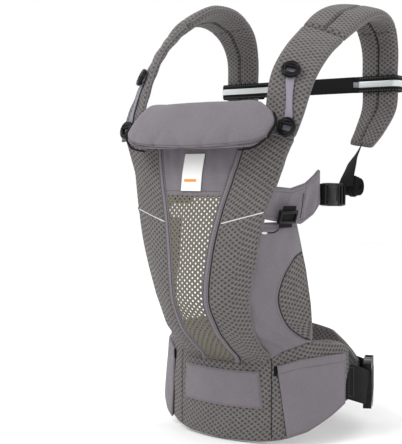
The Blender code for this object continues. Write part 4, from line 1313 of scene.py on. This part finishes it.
def make_waist_webbing():
    points = [belt_point(a, WEB_HEIGHT + 0.018 * (95 - a) / 21, WEB_OUT)
              for a in np.linspace(73.0, 95.5, 41)]
    web = ribbon("waist_web_right", points, UP, WAIST_WEB, WEB_THICK, BLACK_WEB, body=None,
                 node="waist_webbing_right")
    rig.blend(web, "carrier", "waist_buckle_plug_body", start=points[10], end=points[40])
    points = [belt_point(a, WEB_HEIGHT, WEB_OUT) for a in np.linspace(133.0, 152.0, 41)]
    ribbon("waist_web_left", points, UP, WAIST_WEB, WEB_THICK, BLACK_WEB, node="waist_webbing_left")
    box = [belt_point(a, WEB_HEIGHT + 0.016 + h, 0.0026)
           for a, h in ((74.5, -0.021), (78.5, -0.021), (78.5, 0.021), (74.5, 0.021),
                        (74.5, -0.021))]
    stitches("waist_web_stitch", [np.array(box)], slot="black_webbing")


# ---- shoulder straps -------------------------------------
STRAP_END_ROUND = 0.007                         # how far from its ends a strap starts to close
CROWN_SEAM = {1: 8.2, -1: 7.4}                  # the seam across each strap, and the left one's rows
CROWN_QUILTING = (8.6, 8.95, 9.3)
BUTTON_UPPER, BUTTON_LOWER = 2.02, 0.40         # places along the strap
BUTTON_STAND = 0.0037
UPPER_LATERAL = {1: -0.0030, -1: -0.0080}       # how far each button sits from the strap's middle
LOWER_LATERAL = {1: 0.0125, -1: 0.0030}


def button_lateral(t, side):
    f = (t - BUTTON_LOWER) / (BUTTON_UPPER - BUTTON_LOWER)
    return LOWER_LATERAL[side] + (UPPER_LATERAL[side] - LOWER_LATERAL[side]) * f


class StrapBody:
    """A padded strap: rings of a rounded oblong along the strap, with its face lengths."""

    def __init__(self, side, start, end, power=0.55):
        self.side = side
        centre_line = np.array([strap_centre(t, side) for t in np.linspace(start, end, 101)])
        length = running_length(centre_line, 0)[-1]
        self.ts = start + (end - start) * spaced(length, PITCH, STRAP_END_ROUND)
        frames = [strap_frame(t, side) for t in self.ts]
        centre, _, across, outward = (np.array([f[k] for f in frames], float) for k in range(4))
        width, thick = (np.array([f[k] for f in frames]) for k in (4, 5))
        around = np.linspace(0, tau, 1441)[:-1]
        shape = np.stack([np.sign(wave) * abs(wave) ** power
                          for wave in (np.cos(around), np.sin(around))], -1)
        round_shape = shape * np.array([width.mean(), thick.mean()]) / 2
        run = running_length(np.concatenate([round_shape, round_shape[:1]]), 0)
        count = int(run[-1] / PITCH) // 4 * 4
        places = np.linspace(0, run[-1], count + 1)[:-1]
        pick = [np.interp(places, run, np.append(shape[:, k], shape[0, k])) for k in range(2)]
        self.x = pick[0][None] * width[:, None] / 2
        self.y = pick[1][None] * thick[:, None] / 2
        self.face = pick[1]
        self.t = np.broadcast_to(running_length(centre, 0)[:, None], self.x.shape)
        self.s = np.broadcast_to(places[None], self.x.shape)
        self.centre, self.across, self.outward = centre, across, outward
        self.width, self.thick = width, thick

    def build(self, name, relief, node, flat_start=False):
        length = self.t[-1, 0]
        near_end = np.minimum(self.t[:, :1], length - self.t[:, :1])
        close = np.clip(1 - near_end / STRAP_END_ROUND, 0, 1)
        if flat_start:
            close[self.t[:, 0] < length / 2] = 0.0
        squeeze = np.sqrt(1 - close ** 2 * 0.97)
        swell = 1 + relief(self) / (self.thick[:, None] / 2) * abs(self.face)[None] ** 0.7
        y = self.y * swell * squeeze
        x = self.x * (1 - 0.06 * (1 - squeeze))
        self.verts = (self.centre[:, None] + self.across[:, None] * x[..., None]
                      + self.outward[:, None] * y[..., None])
        rows, columns = self.x.shape
        index = np.arange(rows * columns).reshape(rows, columns)
        after = np.roll(index, -1, axis=1)
        quads = np.stack([index[:-1], after[:-1], after[1:], index[1:]], -1).reshape(-1, 4)
        faces = quads.tolist() + [tuple(index[0][::-1]), tuple(index[-1])]
        uv = np.stack([self.s, self.t], -1)
        obj = add_piece(name, self.verts, faces, MESH, uv.reshape(-1, 2), node=node, side=self.side)
        rework(obj.data, face_out)
        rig.padded(obj, 0.6)
        return obj

    def line(self, lateral, start, end, face=1, lift=0.0):
        """A line along one face, `lateral` metres outwards from the strap's middle."""
        points = []
        for k in np.flatnonzero((start <= self.ts) & (self.ts <= end)):
            n = int((np.abs(self.x[k] - lateral) + (self.y[k] * face < 0)).argmin())
            points.append(self.verts[k, n] + self.outward[k] * lift * face)
        return np.array(points)

    def cross_line(self, t, face=1, reach=0.92):
        """A line across one face of the strap at place t."""
        k = int(np.abs(self.ts - t).argmin())
        wanted = [n for n in range(self.x.shape[1])
                  if self.y[k, n] * face > 0 and abs(self.x[k, n]) < self.width[k] / 2 * reach]
        wanted.sort(key=lambda n: self.x[k, n])
        return self.verts[k, wanted]


def make_strap(side):
    name = side_name(side)
    yoke = StrapBody(side, 0.0, STRAP_SPLIT)

    def yoke_relief(b):
        flat = dimples(b) + 0.0007 * np.sin(b.t / 0.035 * tau + side) * np.sin(b.x / 0.04 * pi)
        return flat + groove(b.t - (b.t[-1, 0] - 0.006), 0.0010, 0.0012)

    yoke.build("yoke_" + name, yoke_relief, "strap_yoke_" + name, flat_start=True)
    pad = StrapBody(side, STRAP_SPLIT + 0.02, len(STRAP_ROWS) - 1)
    crown = CROWN_SEAM[side]
    quilted = CROWN_QUILTING if side < 0 else ()

    def pad_relief(b):
        middle = groove(b.x - 0.0015 * np.sin(b.t / 0.09), 0.0050, 0.0022)
        cross = groove(b.t - np.interp(crown, b.ts, b.t[:, 0]), 0.0028, 0.0019)
        for t in quilted:
            cross = cross + groove(b.t - np.interp(t, b.ts, b.t[:, 0]), 0.0010, 0.0013)
        edge = -0.0010 * np.clip(abs(b.x) / (b.width[:, None] / 2) - 0.82, 0, 1) / 0.18
        plump = 0.0012 * np.sin(b.t / 0.055 * tau + 1.3 * side)
        plump = plump * np.clip(1 - abs(b.x) / (b.width[:, None] / 2), 0, 1)
        return dimples(b) + middle + cross + edge + plump

    pad.build("pad_" + name, pad_relief, "strap_pad_" + name)
    seams = [(body.centre + body.across * edge * (body.width[:, None] / 2 + 0.0002))[3:-3]
             for body in (yoke, pad) for edge in (-1, 1)]
    tube("strap_edge_seam_" + name, seams, 0.0011, SEAM, side=side)
    # Dark lines in the middle groove on both faces: painted shade in the groove.
    cords = [pad.line(0.0, STRAP_SPLIT + 0.15, 12.6, face, -0.0002) for face in (1, -1)]
    tube("strap_groove_cord_" + name, cords, 0.0008, SEAM_SHADE, side=side)
    stitched = [pad.cross_line(STRAP_SPLIT + 0.17, face) for face in (1, -1)]
    stitched += [yoke.cross_line(STRAP_SPLIT - 0.11)]
    stitched += [pad.cross_line(t) for t in (crown, *quilted)]
    stitches("strap_stitch_" + name, stitched, side=side)
    make_ring_buttons(side)


def make_ring_buttons(side):
    name = side_name(side)
    points, across, widths = [], [], []
    for t in np.linspace(0.02, BUTTON_UPPER + 0.25, 61):
        centre, _, over, outward, _, thick = strap_frame(t, side)
        dip = 0.0006 * sin(pi * held((t - BUTTON_LOWER) / (BUTTON_UPPER - BUTTON_LOWER)))
        points.append(centre + over * button_lateral(t, side) + outward * (thick / 2 + 0.0018 + dip))
        across.append(over)
        gather = exp(-((t - (BUTTON_UPPER + BUTTON_LOWER) / 2) / 0.55) ** 2)
        widths.append(0.0135 - 0.0045 * gather)
    ribbon("ring_web_" + name, points, across, np.array(widths), 0.0013, GREY_WEB, side=side,
           node="ring_webbing_" + name)
    for level, t in (("upper", BUTTON_UPPER), ("lower", BUTTON_LOWER)):
        centre, along, over, outward, _, thick = strap_frame(t, side)
        base = centre + over * button_lateral(t, side) + outward * (thick / 2 + BUTTON_STAND)
        ring_button(level + "_" + name, base, over, along, outward, side)


def ring_button(name, base, over, along, outward, side):
    """Glossy moulded ring: a rolled outer rim, a shallow track and a raised inner collar."""
    profile = [(0.0072, 0.0010), (0.0074, 0.0004), (0.0080, 0.0), (0.0125, 0.0), (0.0132, 0.0004),
               (0.0136, 0.0014), (0.0136, 0.0034), (0.0132, 0.0048), (0.0124, 0.0055),
               (0.0116, 0.0053), (0.0110, 0.0044), (0.0104, 0.0041), (0.0099, 0.0046),
               (0.0093, 0.0056), (0.0085, 0.0058), (0.0078, 0.0052), (0.0073, 0.0040)]
    segments = 72
    verts = []
    for k in range(segments):
        a = tau * k / segments
        for r, z in profile:
            squared = 1.0 - 0.05 * cos(4 * a) if r < 0.0081 else 1.0    # only round the slot
            verts.append(base + (over * cos(a) + along * sin(a)) * (r * squared) + outward * z)
    obj = add_piece("ring_" + name, verts, ring_faces(segments, len(profile), closed=True), GLOSS,
                    side=side, node="ring_button_" + name)
    rework(obj.data, face_out)
    posts = []
    for height, radius in ((0.0046, 0.0024), (-0.0060, 0.0012)):
        reach = 0.0078 * (1 - (height / 0.0098) ** 2) ** 0.5
        middle = base + along * height + outward * 0.0030
        line = [middle + over * reach * k / 4 for k in range(-4, 5)]
        posts.append(tube_part(line, radius, 10, 1.0))
    for sign in (-1, 1):
        place = base + along * sign * 0.0098
        line = [place + outward * rise for rise in (-0.0040, -0.0022, 0.0004)]
        posts.append(tube_part(line, 0.0016, 10, 1.0))
    add_parts("ring_posts_" + name, posts, PLASTIC, side=side)


def make_adjuster(side):
    """25 mm webbing from the padded strap's end to the side buckle, with half a turn of twist."""
    name = side_name(side)
    run = np.linspace(0, 1, 49)
    points = [Vector(spline(ADJUSTER_ROUTE, f * (len(ADJUSTER_ROUTE) - 1))) for f in run]
    turn = radians(60) * (1 - run)
    across = np.stack([np.cos(turn), 0 * turn, np.sin(turn)], -1)
    widths = SIDE_WEB - 0.004 * np.sin(pi * run)
    web = ribbon("adjuster_web_" + name, points, across, widths, WEB_THICK, BLACK_WEB, body=None,
                 side=side, node="adjuster_webbing_" + name)
    body = "side_buckle_plug_body_" + name
    start, end = (Vector((point.x * side, point.y, point.z)) for point in (points[6], points[48]))
    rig.blend(web, "carrier", body, start=start, end=end)
    spiral = []
    for f in np.linspace(0, 1, 181):
        a, r = tau * 4.2 * f, 0.0034 + 0.0104 * f
        spiral.append(ROLL_MIDDLE + Vector((0.0004 * sin(a * 0.5), -r * cos(a) * 0.96, r * sin(a))))
    ribbon("web_roll_" + name, spiral, (1, 0, 0), SIDE_WEB, 0.0023, BLACK_WEB,
           body=body, side=side, node="webbing_roll_" + name)
    band = [ROLL_MIDDLE + Vector((0.0, -0.0152 * cos(a), 0.0152 * sin(a)))
            for a in np.linspace(0, tau, 41)]
    ribbon("roll_keeper_" + name, band, (1, 0, 0), 0.0075, 0.0012, BLACK_WEB, body=body, side=side)


# ---- head support ----------------------------------------
PILLOW_HALF, PILLOW_SHIFT, PILLOW_TOP, PILLOW_BOTTOM = 0.1250, 0.0130, 0.4810, 0.4085
PILLOW_LEAN = Vector((0.0, 0.42, 0.91)).normalized()
PILLOW_THROUGH = Vector((0, -PILLOW_LEAN.z, PILLOW_LEAN.y))
PILLOW_END = 0.68                               # where its ends start to round off, of its half
INFLATE_FRAMES = 20
# Creases: place along it, lean, depth, width.
CREASES = [(-0.52, 0.9, 0.0022, 0.0050), (-0.12, -0.5, 0.0018, 0.0060), (0.16, 0.7, 0.0024, 0.0055),
           (0.48, 0.5, 0.0021, 0.0050), (0.80, -0.4, 0.0018, 0.0045), (-0.80, 0.3, 0.0018, 0.0045)]


def pillow_foot(s):
    """Height of the seam along the pillow's lower edge."""
    return 0.4200 + 0.008 * s * s + 0.013 * np.clip((abs(s) - PILLOW_END) / 0.32, 0, 1) ** 3


def pillow_frame(s):
    """Centre, height and thickness of the pillow at place s, -1 to 1 from end to end."""
    end = max(0.0, (abs(s) - PILLOW_END) / 0.32)
    top = PILLOW_TOP - (0.030 if s > 0 else 0.040) * end ** 1.7
    bottom = PILLOW_BOTTOM + 0.008 * s * s + (0.025 if s > 0 else 0.011) * end ** 3
    thick = 0.028 * max(1 - end ** 2 * 0.72, 0.2)
    height = (top - bottom) / PILLOW_LEAN.z * 0.97
    middle = (top + bottom) / 2
    y = -0.0600 + (middle - 0.4467) * PILLOW_LEAN.y / PILLOW_LEAN.z + 0.009 * s * s
    centre = Vector((PILLOW_SHIFT + s * PILLOW_HALF, y, middle)) + PILLOW_THROUGH * 0.0110
    return centre, height, thick


def pillow_point(s, a, grow=1.0):
    """A point of the pillow's skin; a runs round its section from the top edge."""
    centre, height, thick = pillow_frame(s)
    up = copysign(abs(cos(a)) ** 0.78, cos(a)) * height / 2 * grow
    out = copysign(abs(sin(a)) ** 0.90, sin(a)) * thick / 2 * grow
    return centre + PILLOW_LEAN * up + PILLOW_THROUGH * out


def make_pillow():
    stations, sides = 72, 56
    verts = []
    for k in range(stations + 1):
        s = -cos(pi * k / stations) * 0.995
        for i in range(sides):
            verts.append(pillow_point(s, tau * i / sides, 0.955))
    obj = add_piece("pillow", verts, ring_faces(stations + 1, sides), GREY, body=None)
    rework(obj.data, face_out)
    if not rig.quick():
        inflate(obj, 0.005, 0.0045)
    crease_pillow(obj)
    co = np.array([v.co for v in obj.data.vertices])
    put_uv(obj.data, np.stack([co[:, 0], co[:, 2] / PILLOW_LEAN.z], -1))
    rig.ride(obj, "head_support_body")
    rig.slot(obj, "grey_fabric")
    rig.replaces(obj, "head_support")
    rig.padded(obj, 0.65)
    make_pillow_seam(obj)
    make_pillow_trim()
    make_pillow_flap()


def inflate(obj, voxel, cap):
    """Blow the closed form up as cloth for a few frames, and hold each point near its start."""
    bpy.context.view_layer.objects.active = obj
    remesh = obj.modifiers.new("remesh", "REMESH")
    remesh.mode = "VOXEL"
    remesh.voxel_size = voxel
    apply_modifiers(obj)
    start = np.array([v.co for v in obj.data.vertices])
    cloth = obj.modifiers.new("cloth", "CLOTH")
    settings = cloth.settings
    settings.use_pressure = True
    settings.uniform_pressure_force = 4.0
    settings.tension_stiffness = settings.compression_stiffness = 12.0
    settings.bending_stiffness = 0.4
    settings.effector_weights.gravity = 0.0
    cloth.point_cache.frame_start, cloth.point_cache.frame_end = 1, INFLATE_FRAMES
    scene = bpy.context.scene
    for step in range(1, INFLATE_FRAMES + 1):
        scene.frame_set(step)
    apply_modifiers(obj)
    scene.frame_set(1)
    moved = np.array([v.co for v in obj.data.vertices]) - start
    size = np.linalg.norm(moved, axis=1, keepdims=True)
    moved *= np.minimum(1.0, cap / np.maximum(size, 1e-9))
    obj.data.vertices.foreach_set("co", (start + moved).ravel())
    obj.modifiers.new("smooth", "SUBSURF").levels = 1
    apply_modifiers(obj)
    obj.data.shade_smooth()


def apply_modifiers(obj):
    graph = bpy.context.evaluated_depsgraph_get()
    mesh = bpy.data.meshes.new_from_object(obj.evaluated_get(graph))
    obj.modifiers.clear()
    obj.data = mesh


def crease_pillow(obj):
    """Soft creases that fan up from the bottom seam, and the seam's own channel."""
    co = np.array([v.co for v in obj.data.vertices])
    normals = np.array([v.normal for v in obj.data.vertices])
    s = (co[:, 0] - PILLOW_SHIFT) / PILLOW_HALF
    above_seam = co[:, 2] - pillow_foot(s)
    front = np.clip(-normals[:, 1] * 1.5, 0, 1)
    seam = groove(above_seam, 0.0022, 0.0016) * front
    above = np.clip(above_seam, 0, None)
    fan = np.zeros(len(co))
    for place, lean, deep, wide in CREASES:
        x = co[:, 0] - (PILLOW_SHIFT + place * PILLOW_HALF + lean * above)
        fan += groove(x, deep, wide + above * 0.12) * np.exp(-above / 0.022)
    co += normals * (seam + fan * front * (above > 0))[:, None]
    obj.data.vertices.foreach_set("co", co.ravel())
    obj.data.update()


def make_pillow_seam(pillow):
    """Dark line along the closing seam at the pillow's foot, painted shade of the seam's channel, laid on its finished
    skin, with a stitch row above it.
    """
    skin = BVHTree.FromPolygons([v.co for v in pillow.data.vertices],
                                [tuple(face.vertices) for face in pillow.data.polygons])
    seam, row = [], []
    for s in np.linspace(-0.94, 0.94, 121):
        for line, rise, sink in ((seam, 0.0, 0.0003), (row, 0.0034, 0.0)):
            ahead = Vector((PILLOW_SHIFT + s * PILLOW_HALF, -0.2, pillow_foot(s) + rise))
            hit = skin.ray_cast(ahead, Vector((0, 1, 0)))[0]
            if hit is not None:
                line.append(hit - PILLOW_THROUGH * sink)
    # The seam's dark line is painted shade in its channel; the stitch row is real thread.
    tube("pillow_seam_shade", [np.array(seam)], 0.0007, THREAD, body="head_support_body")
    stitches("pillow_stitch", [np.array(row)], body="head_support_body")


def make_pillow_flap():
    """The strip of cloth that joins the pillow's back to the panel's top edge, and bends as it folds."""
    def surface(u, v):
        x = -0.072 + 0.152 * u
        foot = panel_point(x, PANEL_TOP - 0.002)
        head = pillow_point((x - PILLOW_SHIFT) / PILLOW_HALF, -0.20, 0.93)
        return foot.lerp(head, v) + Vector((0, 0, -0.002 * sin(pi * v)))

    grid = Grid(surface, (0, -0.3, 1), edge=0.0006, coarse=(24, 6), pitch=0.003)
    flap = grid.slab("pillow_flap", GREY, 0.0016, body=None)
    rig.blend(flap, "carrier", "head_support_body", start=surface(0.5, 0), end=surface(0.5, 1))
    grid.sheet(flap, ["top_cloth", "pillow"])


def make_pillow_trim():
    """Black elastic round each end of the pillow, down to its lower corner."""
    for side in (-1, 1):
        name = side_name(side)
        line = []
        for a in np.linspace(pi * 0.02, pi * 1.04, 41):
            centre, height, _ = pillow_frame(side * (0.985 - 0.055 * abs(cos(a)) ** 3))
            line.append(centre + PILLOW_LEAN * cos(a) * height * 0.52
                        + PILLOW_THROUGH * 0.0035 * sin(a) + Vector((side * 0.0022 * sin(a), 0, 0)))
        tube("pillow_elastic_" + name, [np.array(line)], 0.0018, BLACK_WEB, body="head_support_body",
             node="elastic_loop_" + name)
        tail = []
        for s in np.linspace(0.93, 0.63, 16):
            centre, height, _ = pillow_frame(side * s)
            tail.append(centre - PILLOW_LEAN * (height * 0.525) + PILLOW_THROUGH * 0.002)
        tube("pillow_edging_" + name, [np.array(tail)], 0.0015, BLACK_WEB, body="head_support_body")


# ---- chest strap -----------------------------------------
CHEST_Y = 0.2350
SLEEVE_HEIGHT = 0.025


def sleeve_route(end_x):
    """Round the pad from its back inner edge to its outer edge and along the front face."""
    inner, outer, front, back, corner = 0.0955, 0.1645, 0.2375, 0.2655, 0.008
    turn = outer - corner
    route = [(inner, back), ((inner + outer) / 2, back), (turn, back)]
    route += [(turn + corner * cos(a), back - corner + corner * sin(a))
              for a in pi / 12 * np.arange(5, 0, -1)]
    route += [(outer, (front + back) / 2)]
    route += [(turn + corner * cos(a), front + corner + corner * sin(a))
              for a in -pi / 12 * np.arange(1, 6)]
    route += [(turn, front), (0.130, front), (inner, front), (end_x, CHEST_Y)]
    return np.array([(x, y, RAIL_HEIGHT) for x, y in route])


def make_chest_strap():
    body = "chest_strap_body"
    stitch_rise = np.array([0, 0, 0.0098])
    for side, end_x in ((1, 0.092), (-1, 0.056)):
        name = side_name(side)
        line = even_line(sleeve_route(end_x), 0.0025)
        ribbon("sleeve_" + name, line, UP, SLEEVE_HEIGHT, 0.0028, BLACK_WEB, body=body, side=side,
               node="chest_sleeve_" + name)
        strip = (line - np.cross(directions(line), UP) * 0.0017)[2:-4]
        ribbon("sleeve_reflector_" + name, strip, UP, 0.0095, 0.0008, SILVER, body=body, side=side)
        stitches("sleeve_stitch_" + name, [line[3:-3] + stitch_rise, line[3:-3] - stitch_rise],
                 radius=0.0015, body=body, side=side, slot="black_webbing")
        ribbon("sleeve_tip_" + name, line[-5:], UP, 0.0130, 0.0046, GREY_WEB, body=body, side=side)
    points = [Vector((x, CHEST_Y, RAIL_HEIGHT)) for x in np.linspace(0.0110, 0.0925, 41)]
    web = ribbon("chest_web", points, UP, SIDE_WEB, WEB_THICK, BLACK_WEB, body=None,
                 node="chest_webbing")
    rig.blend(web, "chest_strap_body", "chest_buckle_plug_body", start=points[36], end=points[4])


# ---- buckles ---------------------------------------------
def moulded(node, mat, bevel):
    """The CAD node's own shape with softened edges, in its place and on its body."""
    mesh = frame["nodes"][node].data.copy()
    mesh.materials.clear()
    mesh.materials.append(mat)
    obj = bpy.data.objects.new("moulded_" + node, mesh)
    bpy.context.scene.collection.objects.link(obj)
    flat = radians(2.0)
    rework(mesh, weld(0.00002), lambda bm: bmesh.ops.dissolve_limit(
        bm, angle_limit=flat, verts=bm.verts, edges=bm.edges), face_out)
    soft = obj.modifiers.new("edges", "BEVEL")
    soft.width = bevel
    soft.segments = 2
    soft.limit_method = "ANGLE"
    soft.angle_limit = radians(28)
    soft.harden_normals = False
    apply_modifiers(obj)
    obj.data.shade_smooth()
    obj.data.set_sharp_from_angle(angle=radians(38))
    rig.ride(obj, BODY_OF[node])
    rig.slot(obj, "black_plastic")
    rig.replaces(obj, node)
    return obj


def frame_matrix(origin, x_axis, z_axis):
    """Axes with X along x_axis, and Z as near z_axis as that lets it be."""
    x = Vector(x_axis).normalized()
    y = Vector(z_axis).cross(x).normalized()
    matrix = Matrix((x, y, x.cross(y))).transposed().to_4x4()
    matrix.translation = Vector(origin)
    return matrix


def buckle_ribs(name, place, half, thick, socket_length, plug_length, plug_body, socket_body, side=1):
    """Grip ribs and a rim on both faces of the socket and the plug."""
    def bar(x0, y0, x1, y1, z, radius):
        """A rounded bar that lies on a face, in the buckle's own axes."""
        start, end = Vector((x0, y0, z)), Vector((x1, y1, z))
        return tube_part([place @ start.lerp(end, k / 8) for k in range(9)], radius, 10, 0.5)

    inner, wide, narrow = -socket_length * 0.06, half * 0.62, half * 0.60
    socket_parts, plug_parts = [], []
    for face in (-1, 1):
        z = face * (thick / 2 - 0.0001)
        for share in (0.82, 0.735, 0.65):
            x = -socket_length * share
            socket_parts.append(bar(x, -wide, x, wide, z, 0.0007))
        for y in (-narrow, narrow):
            socket_parts.append(bar(-socket_length * 0.55, y, inner, y, z, 0.0006))
        socket_parts.append(bar(inner, -narrow, inner, narrow, z, 0.0006))
        z = face * (thick / 2 * 0.9 - 0.0001)
        for x in (plug_length * 0.14, plug_length * 0.93):
            plug_parts.append(bar(x, -half * 0.72, x, half * 0.72, z, 0.0007))
    for part, parts, body in (("socket", socket_parts, socket_body), ("plug", plug_parts, plug_body)):
        add_parts(f"{name}_{part}_ribs", parts, PLASTIC, body=body, side=side)


def make_buckles():
    for node in sorted(frame["nodes"]):
        if "buckle" in node:
            moulded(node, PLASTIC, 0.00045 if "prong" in node else 0.0007)
        elif "tri_glide" in node:
            moulded(node, GLOSS, 0.0007)
    waist_sizes = (0.0365, 0.0135, 0.044, 0.027)                    # half width, thickness,
    small_sizes = (0.0165, 0.0105, 0.034, 0.022)                    # socket length, plug length
    angle = 110.0                                                   # of the waist buckle's mouth
    a = radians(angle)
    towards = -Vector((BELT_A * cos(a), BELT_B * sin(a), 0))
    outward = Vector((BELT_B * sin(a), -BELT_A * cos(a), 0))
    place = frame_matrix(belt_point(angle, WEB_HEIGHT, -0.004), towards, outward)
    buckle_ribs("waist_buckle", place, *waist_sizes, "waist_buckle_plug_body", "carrier")
    axis = Vector((0.05, 0.99, -0.03)).normalized()
    place = frame_matrix(Vector((0.1365, 0.0600, 0.3560)) + axis * 0.034, axis, (1, 0, 0))
    for side in (-1, 1):
        name = side_name(side)
        buckle_ribs("side_buckle_" + name, place, *small_sizes, "side_buckle_plug_body_" + name,
                    "carrier", side)
    place = frame_matrix((-0.012, CHEST_Y, RAIL_HEIGHT), (1, 0, 0), (0, -1, 0))
    buckle_ribs("chest_buckle", place, *small_sizes, "chest_buckle_plug_body", "chest_strap_body")


make_stage()
make_panel()
for each in (-1, 1):
    make_wing(each)
    make_tab(each)
    make_seat_strap(each)
make_belt()
make_waist_webbing()
for each in (-1, 1):
    make_strap(each)
    make_adjuster(each)
make_pillow()
make_chest_strap()
make_buckles()

VISUAL_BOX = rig.bounds()
with open("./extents.json", "w") as size_file:
    json.dump({"cad": [list(corner) for corner in CAD_BOX],
               "visual": [list(corner) for corner in VISUAL_BOX]}, size_file)
